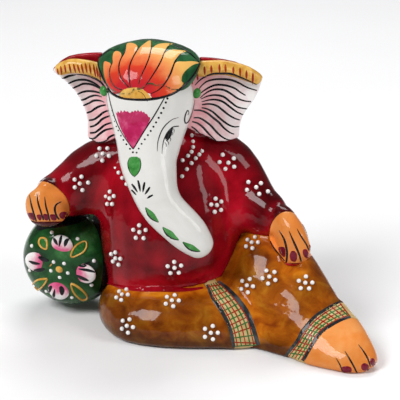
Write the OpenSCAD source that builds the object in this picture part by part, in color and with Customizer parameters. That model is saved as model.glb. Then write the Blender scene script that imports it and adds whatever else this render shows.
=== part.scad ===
// Reclining Ganesha figurine: enamelled cast metal, leaning on a round bolster.
// Millimetres. +X is the viewer's right, -Y faces the viewer, +Z is up.
// The names right_ and left_ are the figure's own right and left.
// The origin is on the floor, under the middle of the figurine.

/* [Overall] */
// Width from the bolster to the toes
figure_w = 115; // [90:1:180]
// Depth from the toes to the back of the torso
figure_d = 68; // [54:1:110]
// Height from the floor to the top of the cap
figure_h = 95.6; // [75:0.2:150]

/* [Castings] */
// Diameter of the plate that closes the torso from below
plate_d = 18; // [12:0.5:22]
// Thickness of the plate that closes the torso from below
plate_t = 1.5; // [1:0.25:3]
// Step that the base plate seats against
plate_seat = 1.5; // [1:0.25:2.5]
// Radius of the bolster
bolster_r = 16.4; // [12:0.2:20]
// Length of the bolster along its axis
bolster_l = 27; // [20:1:32]
// Thickness of an ear
ear_t = 2.2; // [1.5:0.1:3.5]

/* [Raised enamel] */
// Height of the gold rim along the top of an ear
rim_h = 4; // [3:0.2:5.5]
// Thickness of the plaid cuffs at the ankles
cuff_t = 0.6; // [0.4:0.1:1.2]
// Diameter of the white dots on the cloth
dot_d = 1.4; // [1:0.1:2]
// Diameter of the necklace beads
bead_d = 1.3; // [1:0.1:1.5]
// Diameter of the green studs beside the face
stud_d = 3.4; // [2.4:0.2:4.6]
// Diameter of a painted tulip on the bolster
tulip_d = 7.5; // [5:0.25:8]

/* [Hidden] */

// The control points below are laid out for a figurine of this size, about this middle
design = [115, 68, 95.6];
design_middle = [-2.15, -4.18, 0];
// Scale from that layout to the chosen size
fit = [figure_w / design.x, figure_d / design.y, figure_h / design.z];
// Sides of a limb, and steps between two of its control rows
sides = 20;
steps = 2;
// Colours of the enamels
crimson = "#9c1020";
amber = "#b9741c";
skin = "#ee8d45";
ivory = "#efeeea";
bottle_green = "#143a1c";
gold = "#d9a53c";
cream = "#dccb98";

// ---- vectors and smooth curves -------------------------------------------------

function at(p) =
    let (q = p - design_middle)
    [q.x * fit.x, q.y * fit.y, q.z * fit.z];
function mix(a, b, t) = a + (b - a) * t;
function unit(v) = v / norm(v);
function xyz(row) = [row[0], row[1], row[2]];

// Catmull-Rom value of a list of rows at position u, in rows
function row_at(rows, u) =
    let (last = len(rows) - 1, i = max(0, min(last - 1, floor(u))), t = u - i)
    let (a = rows[max(0, i - 1)], b = rows[i], c = rows[i + 1], d = rows[min(last, i + 2)])
    0.5 * (2 * b + (c - a) * t + (2 * a - 5 * b + 4 * c - d) * t * t
        + (3 * b - a - 3 * c + d) * t * t * t);

// ---- limbs: rows of [x, y, z, half width, half thickness] ------------------------

// Direction of the limb, and its width and thickness directions, at position u
function heading(rows, u) =
    unit(xyz(row_at(rows, min(len(rows) - 1, u + 0.05))) - xyz(row_at(rows, max(0, u - 0.05))));
function across(rows, u, ref) = unit(cross(heading(rows, u), ref));
function through(rows, u, ref) = cross(across(rows, u, ref), heading(rows, u));

// Point on the skin of a limb at position u and angle a, grown by g
function limb_point(rows, u, a, ref, g = 0) =
    let (r = row_at(rows, u))
    at(xyz(r) + across(rows, u, ref) * (r[3] + g) * cos(a)
        + through(rows, u, ref) * (r[4] + g) * sin(a));

// A ring of a limb, shrunk to share s and pushed along by d, for the rounded ends
function limb_ring(rows, u, ref, s = 1, d = 0) =
    let (r = row_at(rows, u), h = heading(rows, u) * d)
    [for (k = [0:sides - 1]) let (a = k * 360 / sides)
        on_floor(at(xyz(r) + h + across(rows, u, ref) * r[3] * s * cos(a)
            + through(rows, u, ref) * r[4] * s * sin(a)))];
function on_floor(p) = [p.x, p.y, max(p.z, 0)];

// The rounded ends reach this share of the limb's thickness, with rings at these angles
end_share = 0.8;
end_angles = [35, 70];
function limb_rings(rows, ref, last) =
    let (e0 = rows[0][4] * end_share, e1 = rows[last][4] * end_share)
    concat(
        [for (b = [end_angles[1], end_angles[0]]) limb_ring(rows, 0, ref, cos(b), -e0 * sin(b))],
        [for (k = [0:last * steps]) limb_ring(rows, k / steps, ref)],
        [for (b = end_angles) limb_ring(rows, last, ref, cos(b), e1 * sin(b))]
    );
function limb_tip(rows, u, ref, way) =
    on_floor(at(xyz(rows[u]) + heading(rows, u) * rows[u][4] * end_share * way));

module limb(rows, ref) {
    last = len(rows) - 1;
    skin_over(limb_rings(rows, ref, last), limb_tip(rows, 0, ref, -1), limb_tip(rows, last, ref, 1));
}

// ---- cloth-covered legs: rows of [ridge, front edge, back edge] -------------------

// A section is an ellipse through the ridge and both edges, flattened on the floor
function leg_point(rows, u, a, g = 0) =
    let (ridge = row_at([for (r = rows) r[0]], u), front = row_at([for (r = rows) r[1]], u))
    let (back = row_at([for (r = rows) r[2]], u), c = (front + back) / 2)
    let (f = front - c, v = ridge - c)
    on_floor(at(c + f * (1 + g / norm(f)) * cos(a) + v * (1 + g / norm(v)) * sin(a)));
function leg_ring(rows, u, g = 0) =
    [for (k = [0:sides - 1]) leg_point(rows, u, k * 360 / sides, g)];
function middle(ring) = [for (k = [0:2]) [for (p = ring) p[k]] * [for (p = ring) 1] / len(ring)];

module leg(rows, g = 0, from = 0, to = -1) {
    end = to < 0 ? len(rows) - 1 : to;
    rings = [for (k = [0:round((end - from) * steps)]) leg_ring(rows, from + k / steps, g)];
    skin_over(rings, middle(rings[0]), middle(rings[len(rings) - 1]));
}

// ---- meshes -----------------------------------------------------------------------

// Closes a stack of rings with a fan at each end
module skin_over(rings, tip0, tip1) {
    n = len(rings[0]);
    m = len(rings);
    points = concat([for (ring = rings, p = ring) p], [tip0, tip1]);
    walls = [for (i = [0:m - 2], j = [0:n - 1])
        let (a = i * n + j, b = i * n + (j + 1) % n) each [[a, b, b + n], [a, b + n, a + n]]];
    start = [for (j = [0:n - 1]) [m * n, (j + 1) % n, j]];
    finish = [for (j = [0:n - 1]) [m * n + 1, (m - 1) * n + j, (m - 1) * n + (j + 1) % n]];
    polyhedron(points, concat(walls, start, finish));
}

// A plate between a front and a back grid of points
module plate_over(front, back) {
    n = len(front[0]);
    m = len(front);
    points = [for (grid = [front, back], row = grid, p = row) p];
    cells = [for (i = [0:m - 2], j = [0:n - 2]) i * n + j];
    faces = [for (c = cells) each [[c, c + 1, c + n + 1], [c, c + n + 1, c + n],
        [c + m * n, c + m * n + n + 1, c + m * n + 1], [c + m * n, c + m * n + n, c + m * n + n + 1]]];
    edge = concat([for (j = [0:n - 1]) j], [for (i = [1:m - 1]) i * n + n - 1],
        [for (j = [n - 2:-1:0]) (m - 1) * n + j], [for (i = [m - 2:-1:1]) i * n]);
    rim = [for (k = [0:len(edge) - 1]) let (a = edge[k], b = edge[(k + 1) % len(edge)])
        each [[b, a, a + m * n], [b, a + m * n, b + m * n]]];
    polyhedron(points, concat(faces, rim));
}

// Trims overlapping castings against each other as one mesh
module as_mesh() resize([0, 0, 0]) children();

// ---- torso and base plate -----------------------------------------------------------

torso_rows = [
    [-9, 14, 0, 21, 16], [-9.6, 11, 14, 23, 18.5], [-9.6, 7, 28, 23.4, 20.5],
    [-10.2, 6.5, 39, 22.4, 18.8], [-11.5, 8, 49, 20.5, 15.2], [-12.5, 9.5, 57, 17.5, 11.8],
    [-13, 9.5, 63, 12, 9.5], [-13.5, 9, 67, 8.5, 8]
];
upright = [0, -1, 0];

module torso_form() limb(torso_rows, upright);

module torso() color(crimson) as_mesh() difference() {
    torso_form();
    torso_hollow();
    folded_leg_form();
    raised_leg_form();
    bolster_form();
}

// Inside of the casting, open underneath, where the base plate closes it
plate_x = -8;
plate_y = 17.6;
neck_r = plate_d / 2 - plate_seat;
hollow_rows = [
    [plate_x, plate_y, 3, neck_r - 0.5, neck_r - 0.5], [-8.4, 16.4, 14, 9.5, 8], [-10, 11, 28, 14, 13],
    [-11.2, 9.5, 41, 13, 10], [-12, 9, 50, 9, 7]
];

module torso_hollow() {
    limb(hollow_rows, upright);
    base_outline(plate_t + hollow_rows[0].z, 2 * neck_r);
    base_outline(plate_t, plate_d);
}

module base_outline(t, d) translate(at([plate_x, plate_y, 0])) cylinder(h = t, d = d, $fn = 64);

module base_plate() color("dimgray") base_outline(plate_t, plate_d);

// ---- arms and hands -----------------------------------------------------------------

// The right hand rests on the bolster, so it follows the bolster's radius; the forearm bends
// with it, from nothing at the elbow in row 2 to the whole of it at the wrist in row 5
design_bolster_r = 16.4;
rest_shift = [-1, 0, 2, 0, 0] * (bolster_r - design_bolster_r);
right_arm_layout = [
    [-17, 10, 54.5, 9.5, 9], [-24, 10, 53, 10.5, 9.5], [-32, 10.5, 50, 11, 10], [-39, 9.5, 45.5, 10.5, 9],
    [-45, 7.8, 43.4, 8.5, 7.8], [-48.5, 6.2, 43, 7, 6.6]
];
right_hand_layout = [
    [-49, 5, 44.6, 6.4, 4.4], [-49.4, 2.4, 43, 7.3, 5.2], [-49.5, 0.4, 40.6, 7.3, 5],
    [-49.3, -0.8, 38, 6.4, 4]
];
elbow_row = 2;
wrist_row = 5;
function bend_share(k) = sin(90 * max(0, k - elbow_row) / (wrist_row - elbow_row));
right_arm_rows = [for (k = [0:wrist_row]) right_arm_layout[k] + rest_shift * bend_share(k)];
right_hand_rows = [for (row = right_hand_layout) row + rest_shift];
left_arm_rows = [
    [-1.5, 11, 57, 9, 9], [4, 11, 54.5, 10, 9], [8.5, 11, 51, 10.8, 9], [12.5, 8.5, 45.2, 11, 8.2],
    [18, 3.5, 40.8, 9.4, 7.2], [23.6, -2, 39.2, 7, 5.8]
];
left_hand_rows = [
    [26.4, -4.4, 39.6, 5.8, 4.2], [29, -8.2, 35.6, 7.2, 4.8], [30.6, -11.2, 32, 6.8, 4.2],
    [31.4, -13, 29.4, 5.8, 3.2]
];

module right_arm_form() limb(right_arm_rows, upright);
module left_arm_form() limb(left_arm_rows, upright);
module right_hand_form() limb(right_hand_rows, [0, 1, 0.6]);
module left_hand_form() limb(left_hand_rows, [0, 1, 1]);

module right_arm() color(crimson) as_mesh() difference() {
    right_arm_form();
    torso_form();
    bolster_form();
    right_hand_form();
}

module left_arm() color(crimson) as_mesh() difference() {
    left_arm_form();
    torso_form();
    raised_leg_form();
    left_hand_form();
}

module right_hand() color(skin) as_mesh() difference() {
    right_hand_form();
    bolster_form();
}

module left_hand() color(skin) as_mesh() difference() {
    left_hand_form();
    raised_leg_form();
}

// ---- legs, cuffs and foot -------------------------------------------------------------

// The cloth starts this far above the floor at its front and back edges
hem_z = 5;
folded_leg_rows = [
    [[-33.4, 1, 8], [-33.4, -2.5, hem_z], [-33.4, 5, hem_z]],
    [[-31, 0, 12.6], [-31, -8.5, hem_z], [-30.5, 8, hem_z]],
    [[-23, -3, 15.7], [-24.5, -17, hem_z], [-22, 9, hem_z]],
    [[-12, -6.5, 17], [-12.5, -21.5, hem_z], [-11, 7, hem_z]],
    [[-1, -8, 17.6], [2.5, -22.5, hem_z], [-3, 6, hem_z]],
    [[6, -6.5, 18], [14.5, -21.5, hem_z], [0, 6, hem_z]],
    [[12.4, -2.4, 18.4], [22.6, -17.6, hem_z], [5, 9.6, hem_z]]
];
raised_leg_rows = [
    [[8, 7, 24], [5, -8, hem_z], [12, 15, hem_z]],
    [[16.5, 3.5, 31.8], [11, -15, hem_z], [22, 13, hem_z]],
    [[26, -0.5, 33.4], [17, -19.5, hem_z], [29.4, 9, hem_z]],
    [[33.4, -5, 29], [23, -23, hem_z], [35.4, 3, hem_z]],
    [[38.2, -12, 23.4], [28, -26.5, hem_z], [40.8, -6, hem_z]],
    [[42.8, -19.8, 16.8], [31.2, -28.6, hem_z], [44.8, -15, hem_z]],
    [[46.9, -24.2, 12.6], [35.2, -31.8, 4], [48.8, -20, 4]],
    [[50, -28.6, 9.4], [41.5, -35.4, 3], [52, -24.6, 3]],
    [[52.4, -33.2, 6.8], [47, -38, 2.4], [54.2, -30.2, 2.4]],
    [[54.2, -35.8, 4], [51.4, -37.9, 2], [55.2, -33.8, 2]]
];
// Rows of the raised leg where the cuff starts and ends
cuff_row = 5;
foot_row = 6;
// Rows of the folded leg where its cuff starts and ends
shin_row = 4.5;
ankle_row = 5.5;

module folded_leg_form() leg(folded_leg_rows);
module raised_leg_form() leg(raised_leg_rows, 0, 0, foot_row);

module folded_leg() color(amber) as_mesh() difference() {
    folded_leg_form();
    raised_leg_form();
}

module raised_leg() color(amber) as_mesh() leg(raised_leg_rows, 0, 0, foot_row);

module left_foot() color(skin) as_mesh() leg(raised_leg_rows, 0, foot_row);

module folded_leg_cuff() color(cream) as_mesh() difference() {
    leg(folded_leg_rows, cuff_t, shin_row, ankle_row);
    folded_leg_form();
    raised_leg_form();
    torso_form();
}

module raised_leg_cuff() color(cream) as_mesh() difference() {
    leg(raised_leg_rows, cuff_t, cuff_row, foot_row);
    raised_leg_form();
}

// ---- head, trunk, cap and studs -------------------------------------------------------

head_rows = [
    [-15.4, 3.6, 86.6, 8, 8.4], [-15.3, 2.8, 83.6, 12.2, 12.4], [-15.4, 1, 79.5, 14.2, 14.3],
    [-15.5, -1, 74.5, 13.7, 13.3], [-15.7, -3.5, 69.6, 12, 11.3], [-15.9, -7, 64.9, 10.3, 9],
    [-16, -10, 60.9, 9.3, 8], [-15.1, -13, 56.8, 8.4, 7.2], [-13.6, -15.5, 51.6, 7.3, 6.6],
    [-11, -17, 46.9, 6.8, 6.2], [-6.7, -18, 42.7, 6.6, 5.8], [-2.6, -18.8, 38.7, 6.2, 5.2],
    [0.7, -19.2, 35.1, 4.7, 4.2]
];
facing = [0, 1, 0];

module head_form() limb(head_rows, facing);

module head_and_trunk() color(ivory) as_mesh() difference() {
    head_form();
    torso_form();
    right_arm_form();
    left_arm_form();
}

cap_top = [-15.8, 5, 95.6];
cap_half = [16.6, 16.4];
// The rim of the cap dips to the forehead and rises over the ears
function cap_rim(a) = [cap_top.x + cap_half.x * cos(a), 3 + cap_half.y * sin(a),
    83.8 + 2.1 * sin(a) + 4.6 * pow(cos(a), 6)];
function cap_point(a, b) =
    let (r = cap_rim(a))
    at([mix(cap_top.x, r.x, sin(b)), mix(cap_top.y, r.y, sin(b)), mix(cap_top.z, r.z, 1 - cos(b))]);
cap_sides = 36;

module cap_form() {
    rings = [for (b = [90:-12:18]) [for (k = [0:cap_sides - 1]) cap_point(-k * 360 / cap_sides, b)]];
    skin_over(rings, at([cap_top.x, cap_top.y, 82]), at(cap_top));
}

module lotus_cap() color("firebrick") as_mesh() difference() {
    cap_form();
    head_form();
}

// A round lens that bulges along +Z from its flat back
module lens(d, h) rotate_extrude() polygon([for (k = [0:6]) [d / 2 * cos(k * 15), h * sin(k * 15)]]);

// Studs sit on the sides of the head below the ends of the cap, and are turned to the front.
// Each has its side, and its row position and angle on the head, and stands off it this far
stud_turn = 50;
stud_stand = stud_d * 0.2;
module ear_studs() color(bottle_green)
    for (s = [[-1, 1.98, 187], [1, 2.02, 349]])
        translate(limb_point(head_rows, s[1], s[2], facing) + [s[0] * stud_stand, 0, 0])
            rotate([90, 0, s[0] * stud_turn]) lens(stud_d, stud_d / 3);

// ---- ears and their gold rims -----------------------------------------------------------

// Four edges of an ear's front face: top, bottom, root and outer, each from the head or down
left_ear_edges = [
    [[-4, 6, 89.5], [3.3, 6, 89.5], [12.6, 6.6, 87.6], [20.6, 7, 83]],
    [[-4.5, 1, 68], [0.6, 1.6, 65.4], [6.5, 3, 62.3], [13, 4.6, 63.4]],
    [[-4, 6, 89.5], [-3.4, 4, 80], [-4, 2, 74], [-4.5, 1, 68]],
    [[20.6, 7, 83], [18.4, 6.6, 76.6], [13.8, 6, 69.5], [13, 4.6, 63.4]]
];
right_ear_edges = [
    [[-27, 6, 91], [-34.5, 7, 90.8], [-42.5, 8.6, 89], [-47.4, 9, 84.6]],
    [[-26, 2, 64.5], [-29, 3, 62.6], [-32.5, 4.6, 61.4], [-36.2, 6, 62.8]],
    [[-27, 6, 91], [-27.6, 5, 82], [-27, 3.4, 73], [-26, 2, 64.5]],
    [[-47.4, 9, 84.6], [-40.8, 9, 78.6], [-36.6, 7.6, 70.5], [-36.2, 6, 62.8]]
];
ear_cells = 8;
// The middle of an ear is hollowed back by this much
ear_dish = 2.4;

function edge_at(e, t) = row_at(e, t * (len(e) - 1));
// Coons patch over the four edges, dished in its middle
function ear_at(e, s, t) =
    mix(edge_at(e[0], s), edge_at(e[1], s), t) + mix(edge_at(e[2], t), edge_at(e[3], t), s)
    - mix(mix(e[0][0], e[0][3], s), mix(e[1][0], e[1][3], s), t)
    + [0, ear_dish * 16 * s * (1 - s) * t * (1 - t), 0];
function ear_grid(e, back) = [for (i = [0:ear_cells]) [for (j = [0:ear_cells])
    at(ear_at(e, j / ear_cells, i / ear_cells)) + [0, back, 0]]];

module ear(e, flip) {
    front = ear_grid(e, 0);
    back = ear_grid(e, ear_t);
    if (flip) plate_over(back, front);
    else plate_over(front, back);
}

module left_ear_form() ear(left_ear_edges, false);
module right_ear_form() ear(right_ear_edges, true);

module left_ear() color(ivory) as_mesh() difference() {
    left_ear_form();
    head_form();
    cap_form();
    torso_form();
    left_arm_form();
}

module right_ear() color(ivory) as_mesh() difference() {
    right_ear_form();
    head_form();
    cap_form();
    torso_form();
    right_arm_form();
}

// The rim is a bead along the top of the ear; its back stays on the ear whatever its height
rim_r = rim_h / 2;
design_rim_r = 2;
rim_flatness = 0.8;
left_rim_rows = [
    [-2, 4.6, 86.6, 1.1, 1.4], [1, 4.4, 86.5, 1.1, 1.1], [6.6, 4.6, 86.9, 1, 1], [10.8, 5, 86.2, 1, 1],
    [15.2, 5.2, 84.7, 1, 1], [18.6, 5.6, 82.8, 0.8, 0.8]
];
right_rim_rows = [
    [-30, 5, 84.8, 1.1, 1.4], [-32.6, 5.2, 85.8, 1.1, 1.1], [-36.6, 5.6, 86.8, 1, 1],
    [-41, 7, 86.7, 1, 1], [-44.6, 7.6, 85.4, 0.8, 0.8]
];
function rim_rows(rows) = [for (r = rows)
    let (half = r[4] * rim_flatness)
    [r[0], r[1] + (design_rim_r - rim_r) * half, r[2], r[3] * rim_r, rim_r * half]];

module left_rim_form() limb(rim_rows(left_rim_rows), facing);
module right_rim_form() limb(rim_rows(right_rim_rows), facing);

module left_ear_rim() color(gold) as_mesh() difference() {
    left_rim_form();
    left_ear_form();
    cap_form();
    head_form();
}

module right_ear_rim() color(gold) as_mesh() difference() {
    right_rim_form();
    right_ear_form();
    cap_form();
    head_form();
}

// ---- bolster and its raised enamel --------------------------------------------------------

// The bolster lies on the floor, turned a little to the figure's right and tipped back
bolster_turn = -15;
bolster_tilt = 10;
// Its front end, for the layout's radius; the side by the torso stays where it is
bolster_front = [-46.4, 2.2];
// Height of its middle as a share of its radius, so that it is pressed flat a little
bolster_rise = 0.985;
// The ends bulge as a superellipse of this power, drawn with this many steps
bolster_power = 2.8;
bolster_steps = 9;

// Share of the full radius or half length that is left at the share s of the other
function bulge(s) = pow(1 - pow(abs(s), bolster_power), 1 / bolster_power);
// Distance of the domed end from the middle, at the radius r
function bolster_end(r) = bolster_l / 2 * bulge(r / bolster_r);

// Puts its children at the middle of the bolster, with +Z along its axis to the viewer
module at_bolster() scale(fit)
    translate([bolster_front.x - bolster_r + design_bolster_r, bolster_front.y, bolster_r * bolster_rise]
        - design_middle)
        rotate([bolster_tilt, 0, bolster_turn]) rotate([90, 0, 0])
            translate([0, 0, -bolster_l / 2]) children();

module bolster_body() rotate_extrude($fn = 48)
    polygon(concat(
        [[0, -bolster_l / 2]],
        [for (k = [1 - bolster_steps:bolster_steps - 1]) let (s = sin(k * 90 / bolster_steps))
            [bolster_r * bulge(s), bolster_l / 2 * s]],
        [[0, bolster_l / 2]]
    ));

// Everything above the floor
above = 300;
module bolster_form() intersection() {
    at_bolster() bolster_body();
    translate([-above / 2, -above / 2, 0]) cube(above);
}

module bolster() color(bottle_green) bolster_form();

// Puts its children on the domed face, at the radius r and the angle a from the middle of
// the painted pattern, which sits above the middle of the face; sunk in a little
pattern_rise = bolster_r * 0.14;
face_sink = 0.3;
module on_face(r, a) at_bolster()
    let (x = r * cos(a), y = r * sin(a) + pattern_rise)
        translate([x, y, bolster_end(norm([x, y])) - face_sink]) children();

// A boss in the middle, four tulips in a cross round it and four leaves between them
boss_d = 2.6;
boss_h = 0.9;
tulip_h = 1.2;
leaf_d = tulip_d * 0.5;
tulip_ring_r = bolster_r * 0.53;
leaf_ring_r = bolster_r * 0.573;
cross_turn = -8;

module bolster_boss() color(gold) on_face(0, 0) lens(boss_d, boss_h);

module bolster_tulips() color("pink")
    for (k = [0:3]) on_face(tulip_ring_r, cross_turn + k * 90) lens(tulip_d, tulip_h);

module bolster_leaves() color("darkgreen")
    for (k = [0:3]) on_face(leaf_ring_r, cross_turn + 45 + k * 90) lens(leaf_d, boss_h);

// Five dots between the boss and the tulips and eight near the edge
inner_dots_r = (boss_d / 2 + tulip_ring_r - tulip_d / 2) / 2;
inner_dots_turn = 52;
outer_dots_r = bolster_r * 0.72;
module bolster_dots() color("white") {
    for (k = [0:4]) on_face(inner_dots_r, inner_dots_turn + k * 72) lens(dot_d, dot_d / 2);
    for (k = [0:7]) on_face(outer_dots_r, cross_turn + 22.5 + k * 45) lens(dot_d, dot_d / 2);
}

// ---- raised white enamel ------------------------------------------------------------------

module dot_at(p, d = dot_d) translate(p) sphere(d = d, $fn = 24);
// The middle of a dot stands off the surface by this share of its diameter
dot_lift = 0.2;

// A flower is one dot in the middle and five about it, at this spacing
flower_r = dot_d * 1.6;
// Steps used to measure how a point moves over a surface
small_u = 0.05;
small_a = 3;

// Step in [u, a] that moves a point by r along the surface, in the direction t, where
// along and about are how the point moves for each unit of u and each degree of a
function surface_step(along, about, r, t) =
    let (e1 = unit(along), skew = about * e1, a = r * sin(t) / norm(about - e1 * skew))
    [(r * cos(t) - a * skew) / norm(along), a];
function flower_steps(along, about) =
    concat([[0, 0]], [for (k = [0:4]) surface_step(along, about, flower_r, k * 72)]);

// A flower on a limb, round position u and angle a
module limb_flower(rows, ref, u, a) {
    along = limb_point(rows, u + small_u, a, ref) - limb_point(rows, u - small_u, a, ref);
    about = limb_point(rows, u, a + small_a, ref) - limb_point(rows, u, a - small_a, ref);
    for (s = flower_steps(along / (2 * small_u), about / (2 * small_a)))
        dot_at(limb_point(rows, u + s[0], a + s[1], ref, dot_d * dot_lift));
}

// A strand of n beads between two positions on the torso, bent by the power w
module strand(from, to, n, w) {
    for (k = [0:n - 1]) let (t = k / (n - 1))
        dot_at(limb_point(torso_rows, mix(from[0], to[0], t), from[1] + (to[1] - from[1]) * pow(t, w),
            upright, bead_d * dot_lift), bead_d);
}

// Two strands hang from the figure's left shoulder and one from its right
module necklace_beads() color("white") {
    strand([6.05, 27], [4.75, 67], 6, 1);
    strand([5.7, 4], [4.15, 71], 9, 0.7);
    strand([5.45, 176], [4.1, 124], 8, 0.7);
}

module kurta_dots() color("white") {
    for (f = [[3.66, 146], [2.82, 113], [2.06, 138], [2.06, 86], [3.18, 43]])
        limb_flower(torso_rows, upright, f[0], f[1]);
    for (f = [[1.6, 112], [4.1, 139]]) limb_flower(left_arm_rows, upright, f[0], f[1]);
    for (f = [[1.5, 47], [2.94, 74]]) limb_flower(right_arm_rows, upright, f[0], f[1]);
}

// A flower on a leg, round position u and angle a
module leg_flower(rows, u, a) {
    along = leg_point(rows, u + small_u, a) - leg_point(rows, u - small_u, a);
    about = leg_point(rows, u, a + small_a) - leg_point(rows, u, a - small_a);
    for (s = flower_steps(along / (2 * small_u), about / (2 * small_a)))
        dot_at(leg_point(rows, u + s[0], a + s[1], dot_d * dot_lift));
}

module dhoti_dots() color("white") {
    for (f = [[1.84, 60], [3.28, 54], [2.12, 10], [4.1, 8]]) leg_flower(folded_leg_rows, f[0], f[1]);
    for (f = [[1.34, 65], [1.5, 30], [2.32, 40], [3.88, 60]]) leg_flower(raised_leg_rows, f[0], f[1]);
}

torso();
base_plate();
right_arm();
right_hand();
left_arm();
left_hand();
folded_leg();
folded_leg_cuff();
raised_leg();
raised_leg_cuff();
left_foot();
head_and_trunk();
lotus_cap();
ear_studs();
right_ear();
right_ear_rim();
left_ear();
left_ear_rim();
bolster();
bolster_boss();
bolster_tulips();
bolster_leaves();
bolster_dots();
necklace_beads();
kurta_dots();
dhoti_dots();
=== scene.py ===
"""Looks of the reclining Ganesha figurine: enamelled cast metal, leaning on a round bolster.

The castings are remeshed from the CAD nodes as one smooth body, cut back into the enamel colours,
and the painted line work is laid on them as thin raised enamel. Lengths are in millimetres inside
the helpers and become metres when a mesh is made. +X is the viewer's right and -Y faces the viewer.
"""
import math

import bmesh
import bpy
import numpy as np
import openvdb
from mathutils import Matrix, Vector
from mathutils.bvhtree import BVHTree
from mathutils.geometry import delaunay_2d_cdt


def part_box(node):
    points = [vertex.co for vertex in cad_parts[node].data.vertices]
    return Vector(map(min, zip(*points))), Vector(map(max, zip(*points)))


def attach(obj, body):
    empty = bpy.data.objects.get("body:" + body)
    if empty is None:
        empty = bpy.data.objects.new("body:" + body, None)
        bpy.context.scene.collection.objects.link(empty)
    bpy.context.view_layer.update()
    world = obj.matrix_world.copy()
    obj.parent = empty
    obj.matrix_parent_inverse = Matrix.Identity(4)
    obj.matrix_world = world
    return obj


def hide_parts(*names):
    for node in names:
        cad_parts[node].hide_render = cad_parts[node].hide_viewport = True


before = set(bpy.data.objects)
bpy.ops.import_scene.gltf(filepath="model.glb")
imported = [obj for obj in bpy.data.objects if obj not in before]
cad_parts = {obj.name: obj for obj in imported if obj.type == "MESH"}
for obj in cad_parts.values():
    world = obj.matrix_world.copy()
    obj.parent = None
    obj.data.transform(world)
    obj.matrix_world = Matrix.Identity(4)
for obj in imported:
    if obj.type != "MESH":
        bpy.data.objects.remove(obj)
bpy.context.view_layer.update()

MM = 0.001
# Size of a voxel when a casting is remeshed, and how far its distance field reaches
VOXEL = 0.35
REACH = 4.0
# Touching nodes grow by this much when they are joined, so that no sheet is left between them
WELD = 0.06

CASTING_NODES = [
    "torso", "right_arm", "left_arm", "folded_leg", "raised_leg", "left_foot",
    "right_hand", "left_hand", "folded_leg_cuff", "raised_leg_cuff",
]
KURTA_NODES = ["torso", "right_arm", "left_arm"]
DHOTI_NODES = ["folded_leg", "raised_leg"]


# ---- drawings ------------------------------------------------------------------------------
# The painted line work, in millimetres to the right of and above the middle of the front view.
# Each drawing drops onto the castings along straight lines from the front point.

TILT = math.radians(20)
AIM = np.array([2.45, 4.18, 43.7])
FRONT_DISTANCE = 480
RIGHTWARD = np.array([1, 0, 0])
UPWARD = np.array([0, math.sin(TILT), math.cos(TILT)])
FRONT_POINT = AIM + FRONT_DISTANCE * np.array([0, -math.cos(TILT), math.sin(TILT)])

# Black lines on the face: width, share of it left at either end, points
FACE_LINES = [
    (0.36, 0.6, 1, [(-29.9, 35.4), (-29.1, 31.5), (-27.9, 27.3), (-26.3, 23.4), (-24.4, 20.2),
        (-21.8, 16.6)]),
    (0.45, 0.8, 0.8, [(-11.5, 33.3), (-14.6, 27.9), (-17.9, 22.8), (-20.2, 19), (-21.7, 16.6)]),
    (0.39, 0.3, 0.2, [(-7, 26.8), (-9.1, 26.1), (-11.4, 24.1), (-12.8, 21.8), (-13.7, 18.9),
        (-13.9, 15.8)]),
    (0.39, 0.9, 0.2, [(-6.9, 24), (-8.8, 23.7), (-10.4, 22.2), (-11.5, 20.2), (-12.1, 17.9),
        (-12.4, 15)]),
    (1.23, 0.1, 0.1, [(-8.8, 23.6), (-9.4, 22.4), (-9.9, 21.1), (-10.7, 19.5), (-11.1, 19.2)]),
    (0.85, 0.2, 0.3, [(-9.2, 23.2), (-10, 22.3), (-10.7, 21), (-11.2, 19.7)]),
    (0.23, 1, 0.2, [(-8.6, 23.2), (-8.4, 22.6), (-8.5, 21.8)]),
    (0.23, 1, 0.2, [(-9.4, 22.3), (-8.8, 21.6), (-9.2, 21)]),
    (0.23, 1, 0.2, [(-9.9, 20.5), (-9.5, 19.8), (-9.8, 19)]),
    (0.23, 1, 0.2, [(-10.7, 19.2), (-10.2, 18.6), (-10.3, 17.9)]),
    (0.23, 1, 0.2, [(-11.4, 18.7), (-11, 18.1), (-11, 17.2)]),
    (0.42, 0.3, 1, [(-2.2, 37.2), (-1.5, 35.4), (-1.5, 32.8), (-2.1, 29.6), (-2.9, 27.3), (-3.8, 25.4),
        (-4.7, 24.9)]),
    (0.49, 1, 0.2, [(-4.7, 24.9), (-5, 26), (-4.7, 27.8), (-4, 29.1), (-3.6, 28.4), (-4, 27.6)]),
]
# Rows of black dots beside the mark: number, first and last diameter, and their line
FACE_DOTS = [
    (13, 0.8, 0.6, [(-10.6, 33), (-11.9, 29.8), (-13.9, 25.9), (-15.6, 23.1), (-17.3, 20.6),
        (-19.3, 17.8), (-20.6, 15.4)]),
    (7, 0.5, 0.72, [(-27.2, 23.9), (-25.7, 20.9), (-23.7, 17.8), (-21.8, 15.5)]),
    (4, 0.26, 0.4, [(-29.1, 30.9), (-28.7, 29.2), (-28.3, 27.6), (-27.8, 25.6)]),
]
# Mark on the forehead, with its brushed upper edge
FOREHEAD_MARK = [
    [(-27.4, 28.7), (-27, 28.1), (-26.7, 28.9), (-26.1, 28.3), (-25.7, 29.2), (-25.1, 28.5),
        (-24.6, 29.2), (-24.1, 28.7), (-23.6, 28.9), (-23.1, 28.5), (-22.6, 28.3), (-22.1, 28.9),
        (-21.6, 28.6), (-21.1, 29.2), (-20.6, 28.7), (-20.2, 29.3), (-19.6, 28.7), (-19.1, 29.1),
        (-18.7, 28.5), (-18.2, 28.7), (-17.8, 28.1), (-17.2, 27.9), (-16.8, 27.1), (-16.2, 26.8),
        (-16.4, 25.7), (-17.9, 22.9), (-19.7, 19.7), (-21.5, 16.8), (-23.1, 18.7), (-24.7, 21.1),
        (-26, 23.7), (-26.8, 26.2)],
]
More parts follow.
